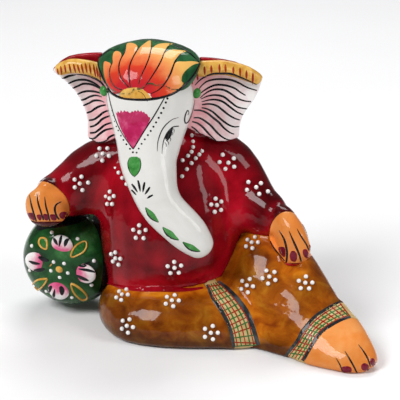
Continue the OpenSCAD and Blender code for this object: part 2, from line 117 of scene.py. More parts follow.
# Bud above the fan on the trunk
TRUNK_BUD = [
    [(-21.4, 14.1), (-20, 13.9), (-19.3, 12.3), (-19.4, 10.4), (-20.1, 8.8), (-21.3, 7.6), (-22.6, 8.6),
        (-23.3, 10.4), (-23.4, 12.3), (-22.8, 13.8)],
]
# Black outline of the bud and the teardrops of the fan
TRUNK_LINES = [
    (0.29, 0.4, 0.4, [(-22.9, 13.8), (-23.5, 12), (-23.2, 10.1), (-22.4, 8.5), (-21.3, 7.5)]),
    (0.29, 0.4, 0.4, [(-19.6, 13.8), (-19.2, 12), (-19.4, 10.2), (-20.2, 8.6), (-21.3, 7.5)]),
    (0.78, 0.6, 0.15, [(-22.2, 5.2), (-21.3, 4), (-20.3, 2.5)]),
    (0.65, 0.6, 0.15, [(-22.3, 3.3), (-21.6, 2.6), (-20.7, 1.6)]),
    (0.78, 0.6, 0.15, [(-20.2, 6.4), (-19.8, 4.9), (-19.4, 2.7)]),
    (0.78, 0.6, 0.15, [(-18, 5.8), (-18.3, 4.2), (-18.6, 2.5)]),
    (0.78, 0.6, 0.15, [(-16.3, 4.2), (-17, 3.1), (-17.9, 1.8)]),
    (0.72, 0.6, 0.15, [(-15.3, 1.6), (-16.2, 1.2), (-17.2, 0.5)]),
]
# Green leaves down the trunk
TRUNK_LEAVES = [
    (1.76, 0.02, 0.02, [(-17.8, -2.5), (-16.8, -3.8), (-15.8, -5), (-14.7, -6.2), (-13.5, -7.3)]),
    (1.82, 0.02, 0.02, [(-12.2, -8.9), (-11.1, -10), (-9.8, -11.1), (-8.4, -12.2), (-6.9, -13.1)]),
    (1.69, 0.02, 0.02, [(-5.7, -13.7), (-4.3, -14.7), (-2.9, -15.5), (-1.5, -16.2), (0, -16.8)]),
]
# Petals on the front of the cap
PETALS = [
    [(-27.6, 34.5), (-29.9, 37.4), (-31, 40), (-31.4, 42.6), (-31.2, 44.9), (-30.1, 44.9), (-29, 44.2),
        (-29.3, 42.2), (-29.2, 39.6), (-27.9, 37.1), (-25.4, 35.8)],
    [(-25.4, 35.8), (-27.9, 37.1), (-29.2, 39.6), (-29.3, 42.6), (-28.4, 44.5), (-28.4, 46.6),
        (-27.9, 48.1), (-26.7, 48.4), (-25.6, 47.5), (-25.9, 45.5), (-26.4, 43.9), (-26.2, 41.3),
        (-25.2, 39), (-23.2, 36.7)],
    [(-23.2, 36.7), (-25.2, 39), (-26.2, 41.3), (-26.3, 43.9), (-25.7, 45.8), (-24.4, 48.1),
        (-24, 50.1), (-23.5, 51), (-21.8, 51), (-20.5, 50.2), (-20.5, 49.1), (-21.8, 46.8),
        (-22.7, 44.2), (-23.1, 41.9), (-23, 39.3), (-22.5, 36.7)],
    [(-22.5, 36.7), (-23, 39.3), (-23.1, 41.9), (-22.5, 44.5), (-21.3, 47.1), (-19.7, 49.4),
        (-17.9, 51), (-16.4, 51.9), (-15.9, 51.4), (-15.9, 49.4), (-16.6, 46.1), (-17.9, 42.9),
        (-19.2, 40.3), (-20, 38), (-19.8, 36.4)],
    [(-19.8, 36.4), (-19.7, 38.7), (-18.5, 41.3), (-17.1, 44.9), (-16.2, 47.1), (-15.6, 49.1),
        (-14, 50.5), (-11.7, 51), (-8.8, 50.8), (-10.4, 50.1), (-11.5, 48.4), (-12.5, 45.8),
        (-14, 42.9), (-16.2, 39.3), (-18.5, 36.2)],
    [(-18.5, 36.2), (-16.2, 39.3), (-13.8, 42.9), (-12.3, 45.8), (-11.4, 47.8), (-9.4, 48.8),
        (-7.2, 48.8), (-4.5, 48.4), (-6.5, 47.5), (-7.8, 45.8), (-8.6, 43.6), (-9.8, 41), (-11.2, 38.4),
        (-13.3, 35.9), (-16.1, 34.5)],
    [(-16.1, 34.5), (-13.2, 35.9), (-11.1, 38.4), (-9.4, 41), (-8.5, 43.6), (-7.5, 44.9), (-4.9, 45),
        (-2.3, 45.1), (-0.2, 44.6), (-2.3, 43.9), (-4.5, 42.2), (-5.7, 40.6), (-6, 38.7), (-5.4, 37.9),
        (-6.8, 36.1), (-8.8, 34.5), (-11.4, 33.7), (-15, 33.1)],
]
# The petals change colour with distance from this point
PETAL_ROOT = (-21.5, 33.6)
PETAL_REACH = 20
# Black lines between the petals and along the lower edge of the cap
CAP_LINES = [
    (0.42, 0.9, 0.3, [(-25.4, 35.8), (-27.9, 37), (-29.2, 39.6), (-29.3, 42.4), (-28.6, 44.4),
        (-28.5, 45.3)]),
    (0.49, 0.9, 0.3, [(-23.2, 36.7), (-25.2, 38.9), (-26.2, 41.4), (-26.3, 43.9), (-25.7, 45.9),
        (-24.4, 48.1), (-24, 50.1)]),
    (0.52, 0.6, 0.2, [(-22.5, 36.6), (-23, 39.3), (-23.1, 41.9), (-22.6, 44.4), (-21.4, 47),
        (-19.7, 49.4)]),
    (0.49, 0.3, 0.2, [(-19.9, 37.7), (-19.1, 40.3), (-17.8, 43.1), (-16.6, 46.1), (-15.9, 49.2),
        (-15.9, 51.4)]),
    (0.52, 0.3, 0.2, [(-18.6, 36.1), (-16.2, 39.3), (-13.9, 42.9), (-12.4, 45.8), (-11.4, 48.3),
        (-9.8, 50.2)]),
    (0.65, 0.3, 0.4, [(-16.1, 34.5), (-13.3, 35.9), (-11.1, 38.4), (-9.6, 41.1), (-8.5, 44.2),
        (-7.7, 45.8), (-6.2, 47.5)]),
    (0.98, 0.5, 0.6, [(-33.4, 46.3), (-33.1, 43.9), (-32.3, 41.3), (-31.1, 38.4), (-29.6, 35.6),
        (-27.6, 34), (-25, 33.1), (-21.1, 32.7), (-17.2, 32.7), (-13.3, 33.2), (-9.8, 34.2),
        (-6.8, 35.8), (-3.6, 38.7), (-1.6, 41.3), (0.1, 44.4)]),
    (0.33, 1, 0.3, [(-20.2, 35.4), (-18.5, 34.5), (-17.1, 32)]),
    (0.45, 0.3, 0.3, [(0, 44.4), (-2, 46.5), (-4.2, 48.4), (-6.5, 49.6), (-9.1, 50.6)]),
    (0.39, 0.3, 0.3, [(-33.1, 46), (-31.2, 47.6), (-29.1, 48.8), (-27.6, 48.5)]),
]
# Half disc at the petals' root, and the band round it
CAP_SUN = [
    [(-26.2, 34.1), (-25.5, 35.3), (-24.4, 36.1), (-22.8, 36.4), (-20.8, 36.6), (-18.9, 36.1),
        (-17.2, 34.9), (-16.2, 33.6), (-16.1, 33), (-21.1, 32.7), (-25, 33)],
    [(-24.9, 34), (-24.1, 34.9), (-22.8, 35.4), (-21.1, 35.6), (-19.5, 35.1), (-18.5, 34.3),
        (-18, 33.2), (-21.1, 32.8), (-24.4, 33.1)],
]
# Black lines on the figure's left ear
LEFT_EAR_LINES = [
    (0.72, 0.3, 0.5, [(-0.8, 35.5), (0.3, 36.9), (2, 38.4), (4.2, 39.1), (6.8, 39.3), (10.1, 39),
        (12.7, 38), (15.3, 36.6), (18.5, 35.6)]),
    (0.72, 0.3, 0.5, [(-0.7, 33.8), (0.3, 34.8), (2.6, 36.4), (5.2, 37.4), (8.1, 37.3), (11.1, 36.4),
        (13, 35.1), (14.8, 34)]),
    (0.72, 0.3, 0.5, [(0, 33.1), (2, 34.8), (4.5, 35.9), (7.5, 35.8), (9.8, 34.7), (12.3, 33),
        (14.6, 32.2), (16.6, 32)]),
    (0.72, 0.3, 0.5, [(0.3, 32.8), (2.6, 33.8), (5.2, 34.1), (7.8, 33.5), (10.1, 31.7), (12.3, 30.2),
        (15.3, 29.6)]),
    (0.72, 0.3, 0.5, [(0.5, 31.9), (2.9, 32.5), (5.2, 32.6), (7.5, 31.9), (9.8, 30.2), (12, 28.6),
        (14.3, 27.6)]),
    (0.72, 0.6, 0.5, [(0.6, 31), (3.2, 31.2), (5.5, 30.6), (7.5, 29.1), (9.4, 27.6), (11.4, 26.5),
        (13, 26)]),
    (0.72, 0.6, 0.5, [(0.5, 30), (2.3, 29.6), (4.2, 28.6), (5.9, 27.1), (7.5, 25.7), (9.4, 24.4),
        (11.1, 23.8), (12.7, 23.9)]),
    (0.75, 0.6, 0.5, [(-2, 29.2), (0.3, 29.1), (2.3, 28.3), (4.2, 26.8), (6.2, 25.2), (7.8, 23.4),
        (9.8, 21.9), (11.1, 21.4)]),
    (0.72, 0.6, 0.5, [(-2.1, 26.7), (-0.3, 26.7), (1.6, 25.7), (3.6, 24.1), (5.2, 22.3), (6.8, 20.8),
        (8.5, 19.8), (9.8, 19.5)]),
    (0.72, 0.6, 0.4, [(-2.6, 25.5), (-0.7, 24.9), (1, 23.6), (2.6, 21.8), (4.2, 20.2), (5.2, 19.3)]),
    (0.72, 0.6, 0.6, [(-2.8, 23.9), (-1.3, 22.8), (0.3, 21.1), (2.9, 20.2), (4.9, 19), (6.8, 18.4),
        (8.1, 18.4)]),
    (0.72, 0.4, 0.3, [(-1.6, 37.3), (-0.3, 38.7), (1.6, 40), (4.2, 41), (7.2, 41.1), (10.1, 41),
        (13.3, 39.8), (15.9, 38.7), (18.5, 37.5)]),
]
# Black lines on the figure's right ear
RIGHT_EAR_LINES = [
    (0.78, 0.5, 0.3, [(-45.5, 39.1), (-44.2, 39.6), (-42.6, 40.3), (-40.3, 40.7)]),
    (0.75, 0.7, 0.3, [(-43.4, 37.4), (-41.6, 38.4), (-39.6, 39), (-37.1, 39), (-34.8, 38.2),
        (-32.8, 36.9), (-31.5, 35.4)]),
    (0.75, 0.7, 0.3, [(-41.8, 36.1), (-39.6, 37.1), (-37.7, 37.8), (-35.1, 37.5), (-32.8, 36.4),
        (-31.2, 35.3)]),
    (0.75, 0.7, 0.3, [(-40.2, 34.1), (-38.7, 34.9), (-36.7, 35.4), (-34.5, 35.3), (-32.5, 34.8),
        (-30.9, 34)]),
    (0.75, 0.7, 0.3, [(-39.1, 32.3), (-37.4, 32.8), (-35.8, 33.6), (-33.8, 34), (-31.9, 33.5)]),
    (0.75, 0.7, 0.3, [(-37.9, 30.7), (-36.1, 31.5), (-34.5, 32.3), (-32.5, 32.3), (-31, 31.7)]),
    (0.78, 0.7, 0.6, [(-36.8, 28.3), (-35.4, 28.8), (-34.1, 29.7), (-32.5, 30.5), (-30.6, 30.9)]),
    (0.78, 0.7, 0.6, [(-36.1, 25.9), (-34.5, 26.2), (-32.8, 27.3), (-31.5, 28.4), (-29.6, 29.2)]),
    (0.78, 0.7, 0.6, [(-35.8, 23.8), (-34.5, 24.1), (-33.1, 25), (-31.9, 26.2), (-30.6, 26.9),
        (-29.2, 27.4)]),
    (0.78, 0.7, 0.6, [(-35.8, 21.8), (-34.1, 22), (-32.5, 23.1), (-30.9, 24.4), (-28.6, 25.2)]),
    (0.78, 0.7, 0.6, [(-36.5, 20.1), (-34.5, 20), (-32.5, 21.6), (-30.6, 22.8), (-28.1, 23.3)]),
    (0.78, 0.5, 0.6, [(-30.2, 19.8), (-29.2, 20.6), (-27.6, 21.3)]),
    (0.65, 0.5, 0.5, [(-36.7, 19.5), (-35.1, 18.9), (-32.8, 18.6), (-30.9, 19.1), (-29.6, 20)]),
    (0.72, 0.3, 0.5, [(-40.2, 40.8), (-37.4, 40.6), (-34.8, 39.8), (-32.5, 38.5), (-31, 36.7),
        (-29.9, 34.8)]),
]
# Dark red ticks on the gold rim of the left ear
LEFT_RIM_TICKS = [
    (0.75, 0.1, 0.1, [(-2.7, 40), (-2.5, 37.5)]),
    (0.75, 0.1, 0.1, [(-1, 41.9), (-0.7, 38.8)]),
    (0.75, 0.1, 0.1, [(1.4, 43.5), (1.6, 40.6)]),
    (0.75, 0.1, 0.1, [(3.6, 43.9), (3.8, 41.1)]),
    (0.75, 0.1, 0.1, [(6.3, 44.3), (6.4, 41.3)]),
    (0.75, 0.1, 0.1, [(8.2, 44.2), (8.4, 41.4)]),
    (0.75, 0.1, 0.1, [(10.8, 43.4), (10.9, 40.9)]),
    (0.75, 0.1, 0.1, [(13, 43.1), (13.1, 40.1)]),
    (0.75, 0.1, 0.1, [(15.1, 42.2), (15.1, 39.3)]),
    (0.75, 0.1, 0.1, [(17.2, 41.5), (17.1, 37.5)]),
]
# Dark red ticks on the gold rim of the right ear
RIGHT_RIM_TICKS = [
    (0.68, 0.1, 0.1, [(-46.4, 42.8), (-46.1, 40.3)]),
    (0.68, 0.1, 0.1, [(-45.3, 43.6), (-44.9, 40.6)]),
    (0.68, 0.1, 0.1, [(-44, 44), (-43.6, 41.3)]),
    (0.68, 0.1, 0.1, [(-42.6, 44.4), (-41.9, 41.1)]),
    (0.68, 0.1, 0.1, [(-41.2, 44.4), (-40.4, 41.3)]),
    (0.68, 0.1, 0.1, [(-39.9, 44.1), (-39.1, 41.3)]),
    (0.68, 0.1, 0.1, [(-38.6, 44.2), (-37.9, 41.1)]),
    (0.68, 0.1, 0.1, [(-37.4, 44.7), (-36.7, 41.3)]),
    (0.68, 0.1, 0.1, [(-36, 44.5), (-35.4, 40.8)]),
    (0.68, 0.1, 0.1, [(-34.7, 44.2), (-33.9, 40)]),
    (0.68, 0.1, 0.1, [(-33.7, 43.6), (-33.1, 39.6)]),
    (0.68, 0.1, 0.1, [(-32.8, 41.9), (-32.3, 38.7)]),
]
# Black lines between the fingers on the bolster
RIGHT_HAND_LINES = [
    (0.62, 0.2, 0.8, [(-55.4, 1.6), (-54.9, -1.3), (-54.1, -4.2), (-53.2, -6.9)]),
    (0.62, 0.2, 0.8, [(-53, 2.2), (-52.6, -1), (-51.8, -3.6), (-50.9, -6.5)]),
    (0.62, 0.2, 0.8, [(-50.5, 1.1), (-50.1, -2), (-49.4, -4.5), (-48.8, -6.8)]),
    (0.72, 0.3, 0.7, [(-45.1, -0.5), (-46.8, -1.6), (-47.2, -3.2), (-46.6, -5.2), (-45.8, -6.3)]),
]
# Black lines between the fingers on the knee
LEFT_HAND_LINES = [
    (0.42, 0.8, 0.8, [(22.8, -13.3), (24.1, -15.6), (25.7, -17.6), (27.5, -19.8)]),
    (0.78, 0.2, 0.8, [(25.7, -9.9), (27.3, -12.7), (28.1, -15.6), (28.3, -17.9), (28, -20.5)]),
    (0.72, 0.2, 0.8, [(28.9, -10), (30.2, -13), (31.5, -15.9), (32.3, -17.9), (32.9, -20)]),
    (0.55, 0.2, 0.8, [(31.5, -9.3), (32.8, -11.7), (34.5, -14.3), (35.4, -16.4)]),
    (0.39, 0.2, 0.8, [(33.3, -7.8), (34.8, -10.1), (36.2, -12.3), (36.9, -14.3)]),
]
# Finger nails of both hands
HAND_NAILS = [
    [(-56.2, -4.5), (-55.2, -4.1), (-54, -4.3), (-53.6, -5), (-53.5, -6.8), (-54.9, -6.2),
        (-55.9, -5.5)],
    [(-53.1, -5), (-52.3, -4.7), (-51.6, -5), (-51.5, -6.2), (-52, -6.7), (-52.8, -6)],
    [(-51, -4.7), (-50.1, -4.5), (-49.4, -5), (-49.2, -6.2), (-49.7, -6.7), (-50.7, -6.2)],
    [(-48.8, -4.9), (-47.8, -4.6), (-46.7, -5), (-46.6, -6.2), (-47.1, -6.7), (-48.3, -6.4)],
    [(-45.8, -4.9), (-45.2, -4), (-43.9, -3.8), (-42.9, -4.3), (-43.2, -5.5), (-44.2, -6.2),
        (-45.3, -5.9)],
    [(25.5, -15.4), (26.8, -15.2), (27.6, -15.6), (27.8, -17.2), (27.6, -18.5), (26.7, -18.2),
        (25.6, -16.7)],
    [(29.2, -17.6), (29.8, -16.6), (30.7, -16.6), (31.5, -17.6), (31.5, -19.3), (30.7, -20.1),
        (29.6, -19.7), (29.2, -18.7)],
    [(33.4, -16.4), (34.1, -15.9), (34.8, -16.2), (35.4, -17.7), (35.3, -18.9), (34.5, -18.9),
        (33.6, -17.9)],
    [(35.5, -14.6), (36.2, -14.3), (36.9, -15.3), (36.9, -16.6), (36.4, -16.8), (35.7, -15.9)],
]
# Toe nails
TOE_NAILS = [
    [(46.1, -54.4), (47.8, -54), (49.2, -54.6), (49.1, -56.1), (47.5, -56.4), (46.1, -55.7)],
    [(52.5, -53.6), (53.6, -53), (54.8, -53.8), (54.8, -55.1), (53.6, -55.6), (52.5, -54.9)],
    [(55.4, -51.8), (56.2, -51.4), (56.9, -52.2), (56.9, -53.5), (56.2, -54), (55.4, -53.2)],
]
# Black lines between the toes
TOE_LINES = [
    (0.59, 0.2, 0.8, [(47.1, -49.1), (48.8, -52), (50.1, -54.3), (51.2, -56.6)]),
    (0.55, 0.2, 0.8, [(51.5, -47), (53.3, -49.4), (54.6, -51.7), (55.4, -54.1)]),
    (0.42, 0.2, 0.8, [(44.2, -51.4), (45.5, -53.6), (46.5, -56.6)]),
]
# Black strokes on the tulips
TULIP_LINES = [
    (1.1, 0.3, 0.2, [(-47.6, -12.3), (-47.1, -13.3), (-46.3, -14.6)]),
    (0.98, 0.2, 0.2, [(-44.9, -11.1), (-45.3, -12.7), (-45.8, -15.1)]),
    (1.37, 0.3, 0.2, [(-42.4, -12.5), (-43.4, -13.3), (-44, -15.1)]),
    (1.49, 0.4, 0.3, [(-52.5, -18.5), (-51, -19.2), (-49.1, -19.8)]),
    (1.04, 0.1, 0.3, [(-55.7, -19.8), (-54, -20.5), (-52, -20.8)]),
    (1.3, 0.4, 0.2, [(-54, -22.9), (-52.3, -22.8), (-50.4, -22.4)]),
    (1.17, 0.2, 0.3, [(-39.5, -21.4), (-37.7, -21.3), (-35.8, -20.1)]),
    (0.98, 0.2, 0.3, [(-39.5, -22.4), (-36.7, -22.8), (-33.8, -23.5)]),
    (1.17, 0.2, 0.3, [(-40.3, -24.4), (-38.4, -25.4), (-36.2, -26.2)]),
    (1.43, 0.3, 0.2, [(-49.1, -30.2), (-48.9, -28.9), (-48.2, -27.9)]),
    (1.04, 0.1, 0.4, [(-47.2, -28.9), (-47.6, -31.2), (-48, -33.8)]),
    (1.76, 0.4, 0.3, [(-45.5, -28.1), (-44.9, -29.2), (-44.9, -30.9)]),
]
# Green ovals of the bolster, each with a gold edge
BOLSTER_LEAVES = [
    [(-50.9, -12.3), (-50, -12.8), (-49.7, -14.3), (-49.9, -15.8), (-50.7, -15.8), (-51.8, -15),
        (-52.3, -13.7), (-51.8, -12.5)],
    [(-41.9, -18), (-41.3, -16.2), (-40, -14.6), (-38, -13.5), (-37, -13.8), (-37, -15.4), (-38, -16.9),
        (-40, -18), (-41.3, -18.5)],
    [(-54.3, -28.4), (-54.1, -27.1), (-52.8, -26), (-50.7, -25.6), (-49.8, -25.8), (-50.7, -27.5),
        (-52.5, -29.2), (-53.8, -29.6)],
    [(-41.8, -27.3), (-40.3, -27.8), (-38.4, -29.2), (-36.9, -30.9), (-36.9, -32), (-38.4, -32.3),
        (-40.3, -30.9), (-41.5, -29.1)],
]
# Painted shadow in black enamel under the hand, and painted shade down the side beside the kurta
BOLSTER_SHADOW = [
    [(-54, -7.2), (-50.4, -6.8), (-45.8, -6.5), (-42.6, -5), (-36.1, -4.8), (-36.9, -6), (-40, -7.6),
        (-45.5, -8.9), (-49.4, -9.3), (-52.6, -9.8)],
    [(-33.8, -4.5), (-31.5, -7.8), (-30.2, -13), (-29.6, -20.2), (-29.9, -27.3), (-31.2, -32.5),
        (-32.8, -34.5), (-33.8, -32.5), (-32.2, -27.3), (-31.5, -20.8), (-32.2, -14.3), (-33.5, -9.8),
        (-35.1, -6.5)],
]
# Dark borders of the cuff of the folded leg
FOLDED_CUFF_EDGES = [
    (1.3, 0.6, 0.8, [(2.3, -27.6), (4.2, -31.9), (7.2, -36.4), (9.3, -40.6), (10.4, -44.2),
        (11, -47.8)]),
    (1.62, 0.5, 0.8, [(6, -26.5), (8.8, -28.6), (12, -32), (15, -36.1), (16.7, -40), (17.9, -43.6),
        (18.9, -47.1)]),
]
# The two edges of the plaid on the folded leg
FOLDED_BAND = (
    [(2.3, -27.6), (4.2, -31.9), (7.2, -36.4), (9.3, -40.6), (10.4, -44.2), (11, -47.8)],
    [(6, -26.5), (8.8, -28.6), (12, -32), (15, -36.1), (16.7, -40), (18.4, -47.1)],
)
# Dark borders of the cuff at the raised ankle
ANKLE_CUFF_EDGES = [
    (1.23, 0.5, 0.8, [(45.5, -33.1), (42.9, -34.3), (40.3, -35.9), (37.7, -37.7), (35.4, -40.1),
        (33.3, -42.7), (31.7, -45.7), (29.8, -48.2), (27.9, -50.7)]),
    (1.23, 0.7, 0.8, [(48.9, -38), (46.5, -38.7), (44.1, -39.8), (41.6, -41.3), (39.2, -43.2),
        (37.2, -45.8), (35.4, -48.8), (33.5, -52.3)]),
]
# The two edges of the plaid at the ankle
ANKLE_BAND = (
    [(45.5, -33.1), (40.3, -35.9), (35.4, -40.1), (31.7, -45.7), (27.9, -50.7)],
    [(48.9, -38), (44.1, -39.8), (39.2, -43.2), (35.8, -48.4), (33.5, -52.3)],
)
# Rolled hem over the folded leg: width, ends, points
KURTA_ROLLS = [
    (1.95, 0.2, 0.2, [(-29.9, -27), (-26.7, -28.1), (-22.8, -28.7), (-17.9, -28.9), (-13, -28.9),
        (-8.1, -29.1), (-3.2, -29.1), (1, -28.6)]),
]
# Outline of the hand on the bolster, and how far back it is skin-coloured
RIGHT_HAND_EDGE = [(-56.9, -2), (-56.9, 0.3), (-56.2, 2.9), (-54.6, 5), (-52.5, 6.1), (-50.1, 5.9),
    (-47.5, 4.8), (-45.2, 2.9), (-43.6, 1), (-42.6, -1.3), (-42.4, -3.9), (-43.1, -5.9), (-44.5, -6.9),
    (-47.1, -7), (-50.4, -7), (-53.6, -7), (-56.2, -5.9), (-56.9, -3.9)]
RIGHT_HAND_BACK = 11
# Outline of the hand on the knee, and how far back it is skin-coloured
LEFT_HAND_EDGE = [(22.4, -11.4), (23.1, -8.1), (24.4, -5.9), (26.3, -4.2), (28.6, -3.7), (30.9, -4.4),
    (32.8, -6.2), (34.5, -8.8), (36.4, -12), (37.2, -15.3), (36.9, -16.9), (35.5, -18.9), (32.9, -20.3),
    (30.2, -20.5), (27.7, -20.4), (25.7, -17.9), (23.7, -15.3), (22.8, -13.3)]
LEFT_HAND_BACK = 6
# Upper edge of the gold rims, with crimson above it
LEFT_RIM_LINE = [(-2.3, 42.9), (0.3, 43.9), (6.2, 44.4), (10.7, 44.2), (15.3, 42.9), (18.9, 41.1),
    (20.8, 38.7), (21.4, 37.1)]
RIGHT_RIM_LINE = [(-48.8, 41.6), (-47.1, 42.9), (-45.5, 44), (-41.9, 44.9), (-37.1, 44.9),
    (-33.5, 43.9), (-29.9, 42.2)]
RIM_GROWTH = 0.45
# How much fuller the foot is than its plain casting
FOOT_GROWTH = 0.8


# ---- distance fields ---------------------------------------------------------------------


def node_mesh(name):
    """Vertices in millimetres and triangles of a CAD node."""
    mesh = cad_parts[name].data
    mesh.calc_loop_triangles()
    points = np.empty(len(mesh.vertices) * 3, np.float32)
    mesh.vertices.foreach_get("co", points)
    triangles = np.empty(len(mesh.loop_triangles) * 3, np.int32)
    mesh.loop_triangles.foreach_get("vertices", triangles)
    return points.reshape(-1, 3) / MM, triangles.reshape(-1, 3).astype(np.uint32)


def smooth_line(points, step=0.35, closed=False):
    """Points at even steps along a Catmull-Rom curve through the given points."""
    points = [np.array(p, float) for p in points]
    count = len(points)
    curve = []
    for i in range(count if closed else count - 1):
        if closed:
            a, b, c, d = (points[(i + k) % count] for k in (-1, 0, 1, 2))
        else:
            a, b, c, d = (points[min(max(i + k, 0), count - 1)] for k in (-1, 0, 1, 2))
        pieces = max(1, int(math.ceil(np.linalg.norm(c - b) / step)))
        for t in np.arange(pieces) / pieces:
            curve.append(
                0.5 * (2 * b + (c - a) * t + (2 * a - 5 * b + 4 * c - d) * t**2
                       + (3 * b - a - 3 * c + d) * t**3)
            )
    if not closed:
        curve.append(points[-1])
    return np.array(curve)


class Region:
    """A block of voxels that covers some nodes with room to spare."""

    def __init__(self, nodes, voxel=VOXEL, room=REACH):
        boxes = [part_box(n) for n in nodes]
        low = np.min([b[0] for b in boxes], axis=0) / MM - room
        high = np.max([b[1] for b in boxes], axis=0) / MM + room
        self.voxel = voxel
        self.start = np.floor(low / voxel).astype(int)
        self.shape = tuple(np.ceil(high / voxel).astype(int) - self.start + 1)

    def distance(self, points, triangles, quads=None):
        """Signed distance to a closed mesh, negative inside."""
        options = {"quads": quads} if quads is not None else {}
        grid = openvdb.FloatGrid.createLevelSetFromPolygons(
            points,
            triangles=triangles,
            transform=openvdb.createLinearTransform(self.voxel),
            halfWidth=REACH / self.voxel,
            **options,
        )
        values = np.empty(self.shape, np.float32)
        grid.copyToArray(values, ijk=tuple(int(i) for i in self.start))
        return values

    def node(self, name):
        return self.distance(*node_mesh(name))

    def side_of(self, plane):
        """Signed distance of every voxel to a plane, positive on the side it leads to."""
        point, normal = plane
        axes = [(np.arange(n) + s) * self.voxel for n, s in zip(self.shape, self.start)]
        return sum(
            ((axis - c) * k).astype(np.float32).reshape([-1 if i == j else 1 for j in range(3)])
            for i, (axis, c, k) in enumerate(zip(axes, point, normal))
        )

    def mesh(self, values):
        """Points in millimetres and quads of the surface where the values cross zero."""
        grid = openvdb.FloatGrid(REACH)
        grid.transform = openvdb.createLinearTransform(self.voxel)
        limited = np.clip(values, -3 * self.voxel, REACH).astype(np.float32)
        limited[values > 3 * self.voxel] = REACH
        grid.copyFromArray(limited, ijk=tuple(int(i) for i in self.start))
        return grid.convertToQuads(0.0)

    def sample(self, values, points):
        """The values at some points, by trilinear interpolation."""
        place = np.clip(points / self.voxel - self.start, 0, np.array(self.shape) - 1.001)
        cell = place.astype(int)
        share = place - cell
        total = np.zeros(len(points))
        for corner in np.ndindex(2, 2, 2):
            weight = np.prod(np.where(corner, share, 1 - share), axis=1)
            total += weight * values[tuple((cell + corner).T)]
        return total


def blurred(values, radius_voxels):
    """Three box blurs along each axis, close to a Gaussian of about the same radius."""
    half = max(1, int(round(radius_voxels)))
    for axis in range(3):
        for _ in range(3):
            padding = [(0, 0)] * 3
            padding[axis] = (half + 1, half)
            sums = np.cumsum(np.pad(values, padding, mode="edge"), axis=axis, dtype=np.float64)
            width = 2 * half + 1
            high = np.take(sums, range(width, sums.shape[axis]), axis=axis)
            low = np.take(sums, range(0, sums.shape[axis] - width), axis=axis)
            values = ((high - low) / width).astype(np.float32)
    return values


def solid_union(region, names):
    """Distance field of several touching nodes as one solid, with no sheet left between them."""
    merged = np.min([region.node(n) for n in names], axis=0) - WELD
    points, quads = region.mesh(merged)
    return region.distance(points, np.empty((0, 3), np.uint32), quads) + WELD


# ---- meshes ------------------------------------------------------------------------------


def evened(points, faces, rounds=6):
    """Taubin smoothing: takes the voxel ripple off a surface and keeps its size."""
    sides = np.concatenate([faces[:, [i, (i + 1) % faces.shape[1]]] for i in range(faces.shape[1])])
    start = np.concatenate([sides[:, 0], sides[:, 1]])
    end = np.concatenate([sides[:, 1], sides[:, 0]])
    count = np.maximum(np.bincount(start, minlength=len(points)), 1)[:, None]
    points = points.astype(np.float64)
    for _ in range(rounds):
        for share in (0.5, -0.53):
            sums = [np.bincount(start, weights=points[end, k], minlength=len(points)) for k in range(3)]
            points = points + share * (np.stack(sums, axis=1) / count - points)
    return points


def new_object(name, points, faces, material=None, smooth=True):
    """A mesh object from points in millimetres and an array or list of faces."""
    mesh = bpy.data.meshes.new(name)
    if isinstance(faces, np.ndarray):
        sides = faces.shape[1]
        mesh.vertices.add(len(points))
        mesh.vertices.foreach_set("co", (points * MM).astype(np.float32).ravel())
        mesh.loops.add(faces.size)
        mesh.loops.foreach_set("vertex_index", faces.astype(np.int32).ravel())
        mesh.polygons.add(len(faces))
        mesh.polygons.foreach_set("loop_start", np.arange(0, faces.size, sides, dtype=np.int32))
        mesh.update(calc_edges=True)
    else:
        mesh.from_pydata([tuple(p) for p in np.asarray(points) * MM], [], faces)
        mesh.update()
    mesh.polygons.foreach_set("use_smooth", [smooth] * len(mesh.polygons))
    obj = bpy.data.objects.new(name, mesh)
    bpy.context.scene.collection.objects.link(obj)
    if material:
        mesh.materials.append(material)
    return obj


def add_attribute(obj, name, values):
    layer = obj.data.attributes.new(name, "FLOAT", "POINT")
    layer.data.foreach_set("value", np.asarray(values, np.float32))


def place(obj, slot, *nodes):
    """The object rides on the figurine and stands for some CAD nodes; the slot is not used."""
    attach(obj, "root")
    if nodes:
        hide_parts(*nodes)
    return obj


# ---- materials ---------------------------------------------------------------------------


def shader(name, roughness=0.22, coat=1.0, coat_roughness=0.04):
    material = bpy.data.materials.new(name)
    material.use_nodes = True
    nodes = material.node_tree.nodes
    bsdf = nodes["Principled BSDF"]
    bsdf.inputs["Roughness"].default_value = roughness
    bsdf.inputs["Specular IOR Level"].default_value = 0.02
    bsdf.inputs["Coat IOR"].default_value = 1.26
    bsdf.inputs["Coat Weight"].default_value = coat
    bsdf.inputs["Coat Roughness"].default_value = coat_roughness
    return material, nodes, material.node_tree.links, bsdf


def noise(nodes, links, scale, detail=4.0, roughness=0.55, distortion=0.0):
    """A noise texture over the figurine's own coordinates; the scale is in cycles per millimetre."""
    coords = nodes.get("Coordinates")
    if not coords:
        coords = nodes.new("ShaderNodeTexCoord")
        coords.name = "Coordinates"
    texture = nodes.new("ShaderNodeTexNoise")
    texture.inputs["Scale"].default_value = scale / MM
    texture.inputs["Detail"].default_value = detail
    texture.inputs["Roughness"].default_value = roughness
    texture.inputs["Distortion"].default_value = distortion
    links.new(coords.outputs["Object"], texture.inputs["Vector"])
    return texture.outputs["Fac"]


def ramp(nodes, links, value, stops):
    """A colour ramp over a value, from a list of (position, colour)."""
    node = nodes.new("ShaderNodeValToRGB")
    elements = node.color_ramp.elements
    while len(elements) < len(stops):
        elements.new(0.5)
    for element, (position, colour) in zip(elements, stops):
        element.position = position
        element.color = (*colour, 1)
    links.new(value, node.inputs["Fac"])
    return node.outputs["Color"]


